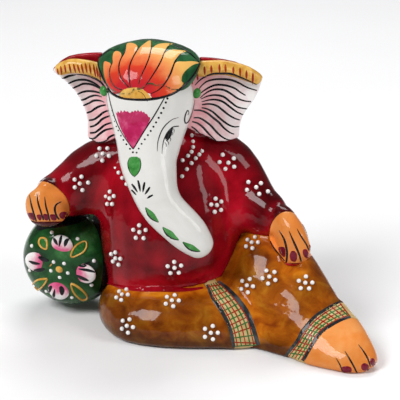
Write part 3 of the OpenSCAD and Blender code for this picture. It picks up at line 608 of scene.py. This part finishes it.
def blend_colours(nodes, links, share, a, b, mode="MIX"):
    node = nodes.new("ShaderNodeMix")
    node.data_type = "RGBA"
    node.blend_type = mode
    for socket, value in ((node.inputs["Factor"], share), (node.inputs["A"], a), (node.inputs["B"], b)):
        if isinstance(value, bpy.types.NodeSocket):
            links.new(value, socket)
        else:
            socket.default_value = value if isinstance(value, float) else (*value, 1)
    return node.outputs["Result"]


def bumped(nodes, links, bsdf, height, strength, distance_mm):
    node = nodes.new("ShaderNodeBump")
    node.inputs["Strength"].default_value = strength
    node.inputs["Distance"].default_value = distance_mm * MM
    links.new(height, node.inputs["Height"])
    links.new(node.outputs["Normal"], bsdf.inputs["Normal"])
    links.new(node.outputs["Normal"], bsdf.inputs["Coat Normal"])


def enamel(name, dark, base, light, patch=0.12, hollow_shade=0.0, roughness=0.25, wave=0.25):
    """Glossy brushed enamel: patches between three tones, and painted shade that darkens it in hollows."""
    material, nodes, links, bsdf = shader(name, roughness)
    patches = noise(nodes, links, patch, 5.0, 0.6, 0.6)
    colour = ramp(nodes, links, patches, [(0.3, dark), (0.5, base), (0.72, light)])
    # Painted shade: darker towards the given share where the surface lies in a hollow
    if hollow_shade:
        reader = nodes.new("ShaderNodeAttribute")
        reader.attribute_name = "hollow_shade"
        shade = ramp(nodes, links, reader.outputs["Fac"], [(0.35, (1, 1, 1)), (0.9, (hollow_shade,) * 3)])
        colour = blend_colours(nodes, links, 1.0, colour, shade, "MULTIPLY")
    links.new(colour, bsdf.inputs["Base Color"])
    grain = noise(nodes, links, 1.6, 3.0)
    sheen = nodes.new("ShaderNodeMapRange")
    sheen.inputs["To Min"].default_value = roughness * 0.7
    sheen.inputs["To Max"].default_value = roughness * 1.4
    links.new(grain, sheen.inputs["Value"])
    links.new(sheen.outputs["Result"], bsdf.inputs["Roughness"])
    bumped(nodes, links, bsdf, noise(nodes, links, 0.22, 2.0), wave, 0.5)
    return material


# Crimson, amber and skin carry painted shade in hollows; their last number is how dark it gets there
CRIMSON = enamel(
    "crimson enamel", (0.15, 0.0006, 0.003), (0.34, 0.002, 0.010), (0.48, 0.006, 0.020), 0.07, 0.15)
AMBER = enamel("amber enamel", (0.25, 0.042, 0.002), (0.46, 0.115, 0.004), (0.66, 0.25, 0.015), 0.16, 0.2)
SKIN = enamel("skin enamel", (0.80, 0.21, 0.035), (0.88, 0.28, 0.055), (0.93, 0.42, 0.14), 0.06, 0.75)
IVORY = enamel("ivory enamel", (0.62, 0.61, 0.57), (0.69, 0.68, 0.65), (0.74, 0.73, 0.70), 0.05)
CREAM = enamel("cream enamel", (0.42, 0.26, 0.09), (0.54, 0.38, 0.16), (0.66, 0.52, 0.28), 0.3)
GOLD = enamel("gold enamel", (0.50, 0.23, 0.03), (0.66, 0.36, 0.07), (0.78, 0.50, 0.14), 0.4)
BOTTLE = enamel(
    "bottle green enamel", (0.003, 0.012, 0.004), (0.010, 0.065, 0.014), (0.05, 0.19, 0.05), 0.10)
WHITE = enamel("white enamel", (0.78, 0.77, 0.74), (0.84, 0.83, 0.81), (0.88, 0.88, 0.87), 0.5)
LOTUS = enamel("lotus enamel", (0.006, 0.035, 0.012), (0.015, 0.085, 0.028), (0.04, 0.17, 0.06), 0.15)

INK = enamel("black enamel", (0.004, 0.004, 0.005), (0.007, 0.007, 0.008), (0.014, 0.014, 0.016), 0.5)
BORDER = enamel("charcoal enamel", (0.008, 0.009, 0.01), (0.025, 0.028, 0.03), (0.10, 0.11, 0.115), 0.12)
NAIL = enamel("nail enamel", (0.10, 0.004, 0.012), (0.16, 0.006, 0.02), (0.22, 0.02, 0.04), 0.5)
RUST = enamel("rust enamel", (0.20, 0.012, 0.004), (0.30, 0.02, 0.008), (0.40, 0.05, 0.01), 0.5)
MARK = enamel("forehead pink enamel", (0.36, 0.01, 0.06), (0.45, 0.02, 0.10), (0.60, 0.10, 0.22), 0.25)
LEAF = enamel("leaf enamel", (0.02, 0.14, 0.02), (0.05, 0.24, 0.05), (0.12, 0.36, 0.12), 0.3)
LEAF_DARK = enamel("dark leaf enamel", (0.008, 0.06, 0.008), (0.02, 0.12, 0.02), (0.06, 0.22, 0.06), 0.3)
PLAID_GREEN = enamel("plaid green enamel", (0.02, 0.08, 0.02), (0.04, 0.14, 0.03), (0.08, 0.20, 0.06), 0.3)


def graded(name, attribute, stops, patch=0.3, spread=0.12):
    """Glossy enamel whose colour follows an attribute of the mesh, with a brushed edge."""
    material, nodes, links, bsdf = shader(name, 0.25)
    reader = nodes.new("ShaderNodeAttribute")
    reader.attribute_name = attribute
    shift = nodes.new("ShaderNodeMath")
    shift.operation = "MULTIPLY_ADD"
    links.new(noise(nodes, links, patch, 5.0, 0.6), shift.inputs[0])
    shift.inputs[1].default_value = spread * 2
    shift.inputs[2].default_value = -spread
    total = nodes.new("ShaderNodeMath")
    links.new(reader.outputs["Fac"], total.inputs[0])
    links.new(shift.outputs[0], total.inputs[1])
    links.new(ramp(nodes, links, total.outputs[0], stops), bsdf.inputs["Base Color"])
    bumped(nodes, links, bsdf, noise(nodes, links, 0.22, 2.0), 0.25, 0.5)
    return material


PETAL = graded("petal enamel", "tone", [
    (0.0, (0.40, 0.012, 0.03)), (0.30, (0.50, 0.02, 0.025)), (0.50, (0.62, 0.05, 0.02)),
    (0.68, (0.76, 0.24, 0.08)), (0.92, (0.82, 0.46, 0.12)),
])


def ear_enamel():
    """White flushed with pink near the head and the rim; crimson above the rim and behind."""
    material, nodes, links, bsdf = shader("ear enamel", 0.25)
    flush = nodes.new("ShaderNodeAttribute")
    flush.attribute_name = "flush"
    streak = nodes.new("ShaderNodeMath")
    streak.operation = "MULTIPLY_ADD"
    links.new(noise(nodes, links, 0.35, 4.0), streak.inputs[0])
    streak.inputs[1].default_value = 0.7
    links.new(flush.outputs["Fac"], streak.inputs[2])
    front = ramp(nodes, links, streak.outputs[0], [
        (0.35, (0.84, 0.82, 0.81)), (0.75, (0.78, 0.55, 0.56)), (1.0, (0.72, 0.33, 0.36)),
    ])
    behind = nodes.new("ShaderNodeAttribute")
    behind.attribute_name = "behind"
    red = ramp(nodes, links, noise(nodes, links, 0.08, 5.0, 0.6), [
        (0.3, (0.13, 0.001, 0.003)), (0.5, (0.32, 0.003, 0.010)), (0.7, (0.45, 0.02, 0.04)),
    ])
    edge = ramp(nodes, links, behind.outputs["Fac"], [(0.45, (0, 0, 0)), (0.55, (1, 1, 1))])
    links.new(blend_colours(nodes, links, edge, front, red), bsdf.inputs["Base Color"])
    bumped(nodes, links, bsdf, noise(nodes, links, 0.22, 2.0), 0.25, 0.5)
    return material


EAR = ear_enamel()


def from_point(name, centre, near, far, stops):
    """Glossy enamel whose colour follows the distance from a point, in streaks."""
    material, nodes, links, bsdf = shader(name, 0.25)
    coords = nodes.new("ShaderNodeTexCoord")
    length = nodes.new("ShaderNodeVectorMath")
    length.operation = "DISTANCE"
    length.inputs[1].default_value = centre
    links.new(coords.outputs["Object"], length.inputs[0])
    span = nodes.new("ShaderNodeMapRange")
    span.inputs["From Min"].default_value = near * MM
    span.inputs["From Max"].default_value = far * MM
    links.new(length.outputs["Value"], span.inputs["Value"])
    shift = nodes.new("ShaderNodeMath")
    shift.operation = "MULTIPLY_ADD"
    links.new(noise(nodes, links, 0.5, 4.0), shift.inputs[0])
    shift.inputs[1].default_value = 0.5
    links.new(span.outputs["Result"], shift.inputs[2])
    links.new(ramp(nodes, links, shift.outputs[0], stops), bsdf.inputs["Base Color"])
    return material


def middle(name):
    low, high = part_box(name)
    return [(a + b) / 2 for a, b in zip(low, high)]


TULIP = from_point("tulip enamel", middle("bolster_boss"), 4.5, 13.5, [
    (0.25, (0.52, 0.02, 0.12)), (0.62, (0.70, 0.14, 0.28)),
    (0.85, (0.82, 0.66, 0.68)), (1.0, (0.85, 0.84, 0.82)),
])


# ---- castings ----------------------------------------------------------------------------


def casting(name, region, values, material, hollow_shade_of=None):
    """A smooth solid from a distance field; the last argument gives how far each point sinks in a hollow,
    which darkens it with painted shade.
    """
    points, quads = region.mesh(values)
    points = evened(points, quads)
    obj = new_object(name, points, quads, material)
    if hollow_shade_of is not None:
        add_attribute(obj, "hollow_shade", np.clip(region.sample(hollow_shade_of, points), 0, 1))
    return obj


def soften(field, region, radius):
    return blurred(field, radius / region.voxel - 0.5)


def on_chart(points):
    """Places of points in the drawings, seen from the front point."""
    away = points - FRONT_POINT
    depth = away @ np.cross(RIGHTWARD, UPWARD) / -FRONT_DISTANCE
    return np.stack([away @ RIGHTWARD / depth, away @ UPWARD / depth], axis=1)


def beyond(outline, places):
    """Signed distance of places in a drawing to a closed outline, negative inside."""
    line = smooth_line(outline, 1.0, closed=True)
    best = np.full(len(places), np.inf)
    crossings = np.zeros(len(places), int)
    for a, b in zip(line, np.roll(line, -1, axis=0)):
        t = np.clip((places - a) @ (b - a) / ((b - a) @ (b - a)), 0, 1)
        best = np.minimum(best, np.linalg.norm(places - a - t[:, None] * (b - a), axis=1))
        spans = (places[:, 1] > a[1]) != (places[:, 1] > b[1])
        with np.errstate(divide="ignore", invalid="ignore"):
            turn = a[0] + (places[:, 1] - a[1]) / (b[1] - a[1]) * (b[0] - a[0])
        crossings += spans & (places[:, 0] < turn)
    return np.where(crossings % 2, -best, best)


def line_plane(surface, drawing, way):
    """Plane through a line of the drawing as it lies on the body: a point and a direction.

    The direction leads to the viewer's right for way 1 and to the left for way -1.
    """
    eye = Vector(FRONT_POINT)
    hits = []
    for x, y in smooth_line(drawing, 1.0):
        ray = (Vector(AIM + RIGHTWARD * x + UPWARD * y) - eye).normalized()
        hit = surface.ray_cast(eye, ray)[0]
        if hit is not None:
            hits.append(hit)
    hits = np.array(hits)
    middle_point = hits.mean(axis=0)
    normal = np.linalg.svd(hits - middle_point)[2][2]
    return middle_point, normal * way * math.copysign(1, normal[0])


def hand_zone(region, whole, outline, behind):
    """Where a hand is skin-coloured: inside an outline of the drawing and in front of a depth."""
    zone = np.full(region.shape, REACH, np.float32)
    near = np.argwhere(np.abs(whole) < 3 * region.voxel)
    points = (near + region.start) * region.voxel
    low, high = np.min(outline, axis=0) - 4, np.max(outline, axis=0) + 4
    places = on_chart(points)
    inside = np.all((places > low) & (places < high), axis=1) & (points[:, 1] < behind + 2)
    near, points, places = near[inside], points[inside], places[inside]
    values = np.maximum(beyond(outline, places), points[:, 1] - behind)
    zone[tuple(near.T)] = np.minimum(values, REACH)
    return zone


# Radii that round the creases of the kurta, between the hands and sleeves, and everywhere
KURTA_ROUND = 2.2
HAND_ROUND = 1.4
BODY_ROUND = 0.7
# How wide a hollow is looked for, and how strongly it counts for each millimetre of depth, in the painted
# shade that darkens hollows
HOLLOW_SHADE_REACH = 2.4
HOLLOW_SHADE_GAIN = 0.9


def build_body():
    """The whole body as one smooth casting, cut back into its enamel colours."""
    region = Region(CASTING_NODES)
    apart = {name: region.node(name) for name in CASTING_NODES}
    below_floor = region.side_of(((0, 0, 0), (0, 0, -1)))
    apart["left_foot"] = np.maximum(apart["left_foot"] - FOOT_GROWTH, below_floor)
    kurta = solid_union(region, KURTA_NODES)
    kurta = np.minimum(kurta, soften(kurta, region, KURTA_ROUND))
    hands_apart = np.minimum(apart["right_hand"], apart["left_hand"])
    points, quads = region.mesh(np.minimum(kurta, hands_apart) - WELD)
    arms = region.distance(points, np.empty((0, 3), np.uint32), quads) + WELD
    arms = np.minimum(arms, soften(arms, region, HAND_ROUND))
    whole = np.minimum(arms, np.min([apart[n] for n in CASTING_NODES if n not in KURTA_NODES], axis=0))
    points, quads = region.mesh(whole - WELD)
    whole = soften(region.distance(points, np.empty((0, 3), np.uint32), quads) + WELD, region, BODY_ROUND)
    # Painted shade: the deeper a point sits in a hollow, the darker its enamel is painted
    hollow_shade = 0.5 + (whole - soften(whole, region, HOLLOW_SHADE_REACH)) * -HOLLOW_SHADE_GAIN
    hands = {
        "right_hand": hand_zone(region, whole, RIGHT_HAND_EDGE, RIGHT_HAND_BACK),
        "left_hand": hand_zone(region, whole, LEFT_HAND_EDGE, LEFT_HAND_BACK),
    }
    kurta_claim = np.min([apart[n] for n in KURTA_NODES + ["right_hand", "left_hand"]], axis=0)
    folded_claim = np.minimum(apart["folded_leg"], apart["folded_leg_cuff"])
    raised_claim = np.min([apart[n] for n in ("raised_leg", "raised_leg_cuff", "left_foot")], axis=0)
    legs = np.maximum(whole, (np.minimum(folded_claim, raised_claim) - kurta_claim) / 2)
    folded = (folded_claim - raised_claim) / 2
    points, quads = region.mesh(whole)
    surface = BVHTree.FromPolygons(points.tolist(), quads.tolist())
    shin_side, knee_side = (
        region.side_of(line_plane(surface, FOLDED_CUFF_EDGES[k][3], way)) for k, way in ((0, -1), (1, 1))
    )
    leg_side, toe_side = (
        region.side_of(line_plane(surface, ANKLE_CUFF_EDGES[k][3], way)) for k, way in ((0, -1), (1, 1))
    )
    folded_band = np.maximum(np.maximum(shin_side, knee_side), folded)
    ankle_band = np.maximum(np.maximum(leg_side, toe_side), -folded)
    foot = np.maximum(-toe_side, -folded)
    looks = {
        "kurta": (CRIMSON, "crimson_enamel", KURTA_NODES),
        "dhoti": (AMBER, "amber_enamel", DHOTI_NODES),
        "foot": (SKIN, "skin_enamel", ["left_foot"]),
        "folded_cuff": (CREAM, "cream_enamel", ["folded_leg_cuff"]),
        "ankle_cuff": (CREAM, "cream_enamel", ["raised_leg_cuff"]),
        "hand_on_bolster": (SKIN, "skin_enamel", ["right_hand"]),
        "hand_on_knee": (SKIN, "skin_enamel", ["left_hand"]),
    }
    skin = np.minimum(hands["right_hand"], hands["left_hand"])
    solids = {
        "hand_on_bolster": np.maximum(whole, hands["right_hand"]),
        "hand_on_knee": np.maximum(whole, hands["left_hand"]),
    }
    upper = (kurta_claim - np.minimum(folded_claim, raised_claim)) / 2
    solids["kurta"] = np.maximum(np.maximum(whole, upper), -skin)
    bare = np.maximum(legs, -skin)
    solids["folded_cuff"] = np.maximum(bare, folded_band)
    solids["ankle_cuff"] = np.maximum(bare, ankle_band)
    solids["foot"] = np.maximum(bare, foot)
    solids["dhoti"] = np.maximum(bare, -np.min([folded_band, ankle_band, foot], axis=0))
    pieces = {}
    for name, (material, slot, nodes) in looks.items():
        pieces[name] = place(casting(name, region, solids[name], material, hollow_shade), slot, *nodes)
    return pieces


def build_single(name, node, material, slot, radius, voxel=VOXEL, grow=0.0):
    region = Region([node], voxel)
    values = soften(region.node(node), region, radius) - grow
    return place(casting(name, region, values, material), slot, node)


body = build_body()
head = build_single("head", "head_and_trunk", IVORY, "ivory_enamel", 0.8)
cap = build_single("cap", "lotus_cap", LOTUS, "lotus_enamel", 0.6)
EAR_VOXEL = VOXEL * 0.8
RIM_VOXEL = VOXEL * 0.7
ear_on_left, ear_on_right = (
    build_single(f"ear_{side}", f"{side}_ear", EAR, "ear_enamel", 0.5, EAR_VOXEL)
    for side in ("left", "right")
)
rim_on_left, rim_on_right = (
    build_single(f"ear_rim_{side}", f"{side}_ear_rim", GOLD, "gold_enamel", 0.45, RIM_VOXEL, RIM_GROWTH)
    for side in ("left", "right")
)


def tint_ear(ear, rim_line, root_x, tip_x):
    """Marks the flush near the head and the rim, and the crimson above the rim and behind."""
    mesh = ear.data
    points = np.empty(len(mesh.vertices) * 3, np.float32)
    mesh.vertices.foreach_get("co", points)
    points = points.reshape(-1, 3) / MM
    normals = np.empty(len(mesh.vertices) * 3, np.float32)
    mesh.vertices.foreach_get("normal", normals)
    normals = normals.reshape(-1, 3)
    places = on_chart(points.astype(float))
    line = smooth_line(rim_line, 0.5)
    line = line[np.argsort(line[:, 0])]
    above = places[:, 1] - np.interp(places[:, 0], line[:, 0], line[:, 1])
    behind = np.maximum(above, normals[:, 1] * 3)
    add_attribute(ear, "behind", np.clip(0.5 + behind, 0, 1))
    out = np.clip((places[:, 0] - root_x) / (tip_x - root_x), 0, 1)
    add_attribute(ear, "flush", np.clip(0.62 - 0.75 * out + 0.25 * np.exp(above / 4), 0, 1))


tint_ear(ear_on_left, LEFT_RIM_LINE, 0, 20)
tint_ear(ear_on_right, RIGHT_RIM_LINE, -30, -47)
bolster = build_single("bolster_casting", "bolster", BOTTLE, "bottle_green_enamel", 0.6)


# ---- painted line work ---------------------------------------------------------------------


class Canvas:
    """Castings that line work is laid on."""

    def __init__(self, *objects):
        points, faces = [], []
        for obj in objects:
            mesh = obj.data
            co = np.empty(len(mesh.vertices) * 3, np.float32)
            mesh.vertices.foreach_get("co", co)
            start = sum(len(p) for p in points)
            points.append(co.reshape(-1, 3) / MM)
            mesh.calc_loop_triangles()
            corners = np.empty(len(mesh.loop_triangles) * 3, np.int32)
            mesh.loop_triangles.foreach_get("vertices", corners)
            faces.append(corners.reshape(-1, 3) + start)
        self.tree = BVHTree.FromPolygons(np.concatenate(points).tolist(), np.concatenate(faces).tolist())

    def drop(self, drawing):
        """Where the points of a drawing land, and the directions out of the surface there."""
        places, normals = [], []
        reach = FRONT_DISTANCE
        eye = Vector(FRONT_POINT)
        for x, y in drawing:
            way = (Vector(AIM + RIGHTWARD * x + UPWARD * y) - eye).normalized()
            place, normal, _, distance = self.tree.ray_cast(eye, way)
            if place is None:
                place, normal, _, _ = self.tree.find_nearest(eye + way * reach)
            else:
                reach = distance
            places.append(place)
            normals.append(normal)
        return np.array(places), np.array(normals)


# Corners of a painted dot
DOT_SIDES = 10


class Paint:
    """Collects strokes and patches that share a canvas and a material into one object."""

    def __init__(self, canvas):
        self.canvas = canvas
        self.points, self.faces, self.tone = [], [], []
        self.count = 0

    def add(self, points, faces, tone=None):
        self.points.append(points)
        self.faces += [tuple(i + self.count for i in f) for f in faces]
        self.tone.append(np.zeros(len(points)) if tone is None else tone)
        self.count += len(points)

    def stroke(self, width, start, end, points, lift=0.1, closed=False):
        """A ribbon that thins from its middle to the given shares of its width at its ends."""
        line = smooth_line(points, closed=closed)
        count = len(line)
        if closed:
            ahead = np.roll(line, -1, axis=0) - np.roll(line, 1, axis=0)
        else:
            ahead = np.gradient(line, axis=0)
        side = np.stack([-ahead[:, 1], ahead[:, 0]], axis=1)
        side /= np.maximum(np.linalg.norm(side, axis=1), 1e-6)[:, None]
        t = np.arange(count) / max(count - 1, 1)
        if closed:
            share = np.ones(count)
        else:
            share = np.where(
                t < 0.5,
                start + (1 - start) * np.sin(math.pi * np.minimum(t, 0.5)),
                end + (1 - end) * np.sin(math.pi * np.maximum(t, 0.5)),
            )
        across = np.array([-1, -0.55, 0, 0.55, 1]) / 2
        height = np.array([0.0, 0.85, 1, 0.85, 0.0]) * lift
        spread = side[:, None] * (share * width)[:, None, None] * across[None, :, None]
        drawing = (line[:, None] + spread).reshape(-1, 2)
        places, normals = self.canvas.drop(drawing)
        normals = normals.reshape(count, len(across), 3)
        normals[:] = normals.mean(axis=1, keepdims=True)
        normals = normals.reshape(-1, 3)
        normals /= np.linalg.norm(normals, axis=1)[:, None]
        places = places + normals * np.tile(height, count)[:, None]
        width_count = len(across)
        faces = []
        for i in range(count if closed else count - 1):
            a, b = i * width_count, ((i + 1) % count) * width_count
            faces += [(a + k, a + k + 1, b + k + 1, b + k) for k in range(width_count - 1)]
        self.add(places, faces)

    def patch(self, outline, lift=0.06, step=0.6, edge=0.01, tone_from=None, tone_reach=1.0):
        """A filled area, highest inside, with a tone that grows with distance from a point."""
        border = smooth_line(outline, step * 0.6, closed=True)
        low, high = border.min(axis=0), border.max(axis=0)
        grid = [
            (x + (step / 2 if row % 2 else 0), y)
            for row, y in enumerate(np.arange(low[1], high[1], step * 0.87))
            for x in np.arange(low[0], high[0], step)
        ]
        spread = np.linalg.norm(np.array(grid)[:, None] - border[None], axis=2).min(axis=1)
        inside = [p for p, d in zip(grid, spread) if d > step * 0.35]
        flat = [Vector(p) for p in border] + [Vector(p) for p in inside]
        ring = list(range(len(border)))
        edges = [(i, (i + 1) % len(border)) for i in ring]
        flat, _, triangles, _, _, _ = delaunay_2d_cdt(flat, edges, [ring], 1, 1e-5)
        flat = np.array([tuple(p) for p in flat])
        places, normals = self.canvas.drop(flat)
        room = np.linalg.norm(flat[:, None] - border[None], axis=2).min(axis=1)
        rise = edge + (lift - edge) * np.clip(room / (step * 0.5), 0, 1)
        tone = None
        if tone_from is not None:
            tone = np.clip(np.linalg.norm(flat - np.array(tone_from), axis=1) / tone_reach, 0, 1)
        self.add(places + normals * rise[:, None], triangles, tone)

    def dot(self, x, y, width):
        turns = np.arange(DOT_SIDES) * math.tau / DOT_SIDES
        around = [(x + width / 2 * math.cos(a), y + width / 2 * math.sin(a)) for a in turns]
        places, normals = self.canvas.drop([(x, y)] + around)
        normal = normals[0]
        places[0] += normal * width * 0.25
        places[1:] += normals[1:] * 0.02
        self.add(places, [(0, k + 1, (k + 1) % DOT_SIDES + 1) for k in range(DOT_SIDES)])

    def finish(self, name, material, slot, *nodes):
        obj = new_object(name, np.concatenate(self.points), self.faces, material)
        add_attribute(obj, "tone", np.concatenate(self.tone))
        turn_outward(obj)
        return place(obj, slot, *nodes)


def turn_outward(obj):
    """Makes every face of a piece of line work look to the front point."""
    mesh = obj.data
    eye = Vector(FRONT_POINT) * MM
    graph = bmesh.new()
    graph.from_mesh(mesh)
    wrong = [f for f in graph.faces if f.normal.dot(eye - f.calc_center_median()) < 0]
    bmesh.ops.reverse_faces(graph, faces=wrong)
    graph.to_mesh(mesh)
    graph.free()


def painted(
    name, canvas, material, slot, strokes=(), patches=(), dots=(), lift=0.1, patch_lift=0.06, nodes=()
):
    """One object of strokes, patches and dots in one enamel."""
    paint = Paint(canvas)
    for width, start, end, points in strokes:
        paint.stroke(width, start, end, points, lift)
    for outline in patches:
        paint.patch(outline, patch_lift)
    for x, y, width in dots:
        paint.dot(x, y, width)
    return paint.finish(name, material, slot, *nodes)


def dot_rows(rows):
    """Places and diameters of the dots of each row, evenly along its line."""
    dots = []
    for count, first, last, points in rows:
        line = smooth_line(points, 0.1)
        share = np.linspace(0, 1, count)
        picked = line[np.round(share * (len(line) - 1)).astype(int)]
        dots += [(x, y, first + (last - first) * t) for (x, y), t in zip(picked, share)]
    return dots


def plaid_lines(band, shares, along, across, first, step, slant):
    """Lines along a band at shares of its width, and slanted lines across it at even steps."""
    one, two = (np.array(edge, float) for edge in band)
    last = len(one) - 1
    lines = [(along, 0.7, 0.7, one + (two - one) * share) for share in shares]
    for u in np.arange(first, last, step):
        ends = [
            [np.interp(v, np.arange(last + 1), edge[:, k]) for k in (0, 1)]
            for edge, v in ((one, u), (two, u + slant))
        ]
        lines.append((across, 0.8, 0.8, ends))
    return lines


def paint_head():
    on_head = Canvas(head)
    painted("face_lines", on_head, INK, None, FACE_LINES, dots=dot_rows(FACE_DOTS))
    painted("forehead_mark", on_head, MARK, "pink_enamel", patches=FOREHEAD_MARK, patch_lift=0.05)
    painted("trunk_lines", on_head, INK, None, TRUNK_LINES)
    # Each leaf is a black stroke with a narrower green one on it, set up and to the right
    rims = [(width * 1.25, start, end, points) for width, start, end, points in TRUNK_LEAVES]
    painted("trunk_leaf_edges", on_head, INK, None, rims, lift=0.05)
    leaves = [
        (width, start, end, [(x + 0.12, y + 0.14) for x, y in points])
        for width, start, end, points in TRUNK_LEAVES
    ]
    painted("trunk_leaves", on_head, LEAF, "green_enamel", leaves, lift=0.12)
    painted("trunk_bud", on_head, LEAF, "green_enamel", patches=TRUNK_BUD, patch_lift=0.05)


def paint_cap():
    on_cap = Canvas(cap, head)
    petals = Paint(on_cap)
    for outline in PETALS:
        petals.patch(outline, 0.08, tone_from=PETAL_ROOT, tone_reach=PETAL_REACH)
    petals.finish("cap_petals", PETAL, "lotus_enamel")
    painted("cap_sun", on_cap, GOLD, "gold_enamel", patches=CAP_SUN, patch_lift=0.14)
    painted("cap_lines", on_cap, INK, None, CAP_LINES, lift=0.16)


def paint_ears():
    for side, ear, rim, lines, ticks in (
        ("left", ear_on_left, rim_on_left, LEFT_EAR_LINES, LEFT_RIM_TICKS),
        ("right", ear_on_right, rim_on_right, RIGHT_EAR_LINES, RIGHT_RIM_TICKS),
    ):
        painted(f"ear_lines_{side}", Canvas(ear, head, rim), INK, None, lines, lift=0.12)
        painted(f"ear_rim_ticks_{side}", Canvas(rim, ear), RUST, "crimson_enamel", ticks, lift=0.1)


def paint_hands():
    hands = Canvas(body["hand_on_bolster"], body["hand_on_knee"], body["dhoti"], bolster)
    painted("finger_lines", hands, INK, None, RIGHT_HAND_LINES + LEFT_HAND_LINES, lift=0.12)
    painted("finger_nails", hands, NAIL, "crimson_enamel", patches=HAND_NAILS, patch_lift=0.16)
    foot = Canvas(body["foot"], body["ankle_cuff"])
    painted("toe_lines", foot, INK, None, TOE_LINES, lift=0.12)
    painted("toe_nails", foot, NAIL, "crimson_enamel", patches=TOE_NAILS, patch_lift=0.14)


def paint_bolster():
    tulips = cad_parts["bolster_tulips"]
    painted("tulip_lines", Canvas(bolster, tulips), INK, None, TULIP_LINES, lift=0.12)
    on_bolster = Canvas(bolster)
    painted(
        "bolster_leaves_inside", on_bolster, LEAF_DARK, "green_enamel",
        patches=BOLSTER_LEAVES, patch_lift=0.25, nodes=["bolster_leaves"],
    )
    rims = Paint(on_bolster)
    for outline in BOLSTER_LEAVES:
        rims.stroke(0.62, 1, 1, outline, 0.5, closed=True)
    rims.finish("bolster_leaf_rims", GOLD, "gold_enamel")
    # Painted shadow under the hand and painted shade down the bolster's side, as black enamel
    painted("bolster_shadow", on_bolster, INK, None, patches=BOLSTER_SHADOW)


def paint_cuffs():
    for name, edges, band, first_green, first_red, step, slant in (
        ("folded_cuff", FOLDED_CUFF_EDGES, FOLDED_BAND, 0.5, 0.13, 0.74, 0.35),
        ("ankle_cuff", ANKLE_CUFF_EDGES, ANKLE_BAND, 0.3, 0.05, 0.5, -0.25),
    ):
        cuff = Canvas(body[name], body["dhoti"], body["foot"])
        green = plaid_lines(band, (0.34, 0.72), 0.52, 0.44, first_green, step, slant)
        red = plaid_lines(band, (0.16, 0.53, 0.88), 0.46, 0.44, first_red, step, slant)
        painted(f"{name}_edges", cuff, BORDER, None, edges, lift=0.14)
        painted(f"{name}_green", cuff, PLAID_GREEN, "green_enamel", green, lift=0.08)
        painted(f"{name}_red", cuff, RUST, "crimson_enamel", red, lift=0.08)


def roll_hem():
    """The rolled lip of the kurta over the folded leg."""
    hem = Paint(Canvas(body["kurta"], body["dhoti"]))
    for line in KURTA_ROLLS:
        hem.stroke(*line, lift=0.45)
    obj = hem.finish("kurta_hem", CRIMSON, "crimson_enamel")
    # Painted shade: the whole hem is a little darker
    add_attribute(obj, "hollow_shade", np.full(len(obj.data.vertices), 0.45))


roll_hem()
paint_head()
paint_cap()
paint_ears()
paint_hands()
paint_bolster()
paint_cuffs()

for name in ("bolster_dots", "necklace_beads", "kurta_dots", "dhoti_dots"):
    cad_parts[name].data.materials.clear()
    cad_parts[name].data.materials.append(WHITE)
for name, material in (("bolster_tulips", TULIP), ("bolster_boss", GOLD), ("ear_studs", LEAF)):
    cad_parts[name].data.materials.clear()
    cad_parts[name].data.materials.append(material)


# ---- stage, light and camera ---------------------------------------------------------------


def area_light(name, place_mm, aim_mm, size_mm, watts, colour=(1, 1, 1)):
    data = bpy.data.lights.new(name, "AREA")
    data.shape = "RECTANGLE"
    data.size = size_mm[0] * MM
    data.size_y = size_mm[1] * MM
    data.energy = watts
    data.color = colour
    light = bpy.data.objects.new(name, data)
    light.location = Vector(place_mm) * MM
    light.rotation_euler = (Vector(aim_mm) - Vector(place_mm)).to_track_quat("-Z", "Y").to_euler()
    bpy.context.scene.collection.objects.link(light)
    return light


def build_stage():
    material, nodes, links, bsdf = shader("pale sweep", 0.6, 0.0)
    clouds = noise(nodes, links, 0.004, 3.0)
    colour = ramp(nodes, links, clouds, [(0.3, (0.86, 0.86, 0.87)), (0.7, (0.89, 0.89, 0.90))])
    links.new(colour, bsdf.inputs["Base Color"])
    reach = 1500
    corners = [(-reach, -reach, 0), (reach, -reach, 0), (reach, reach, 0), (-reach, reach, 0)]
    new_object("floor", np.array(corners, float), [(0, 1, 2, 3)], material, smooth=False)


def build_light():
    world = bpy.data.worlds.new("studio")
    bpy.context.scene.world = world
    world.use_nodes = True
    background = world.node_tree.nodes["Background"]
    background.inputs["Color"].default_value = (1, 1, 1, 1)
    background.inputs["Strength"].default_value = 0.16
    centre = (0, 0, 45)
    area_light("key softbox", (-660, -520, 860), centre, (480, 480), 11)
    area_light("fill softbox", (840, -440, 520), centre, (360, 520), 4.4)
    area_light("top softbox", (120, 560, 900), centre, (620, 380), 5.5)


def build_camera():
    """A short telephoto, a little above the figurine."""
    data = bpy.data.cameras.new("camera")
    data.sensor_width = 36
    data.lens = 132.9
    data.clip_start = 0.01
    camera = bpy.data.objects.new("camera", data)
    camera.location = Vector(FRONT_POINT) * MM
    camera.rotation_euler = (math.radians(90) - TILT, 0, 0)
    bpy.context.scene.collection.objects.link(camera)
    bpy.context.scene.camera = camera
    bpy.context.scene.view_settings.view_transform = "Standard"


build_stage()
build_light()
build_camera()
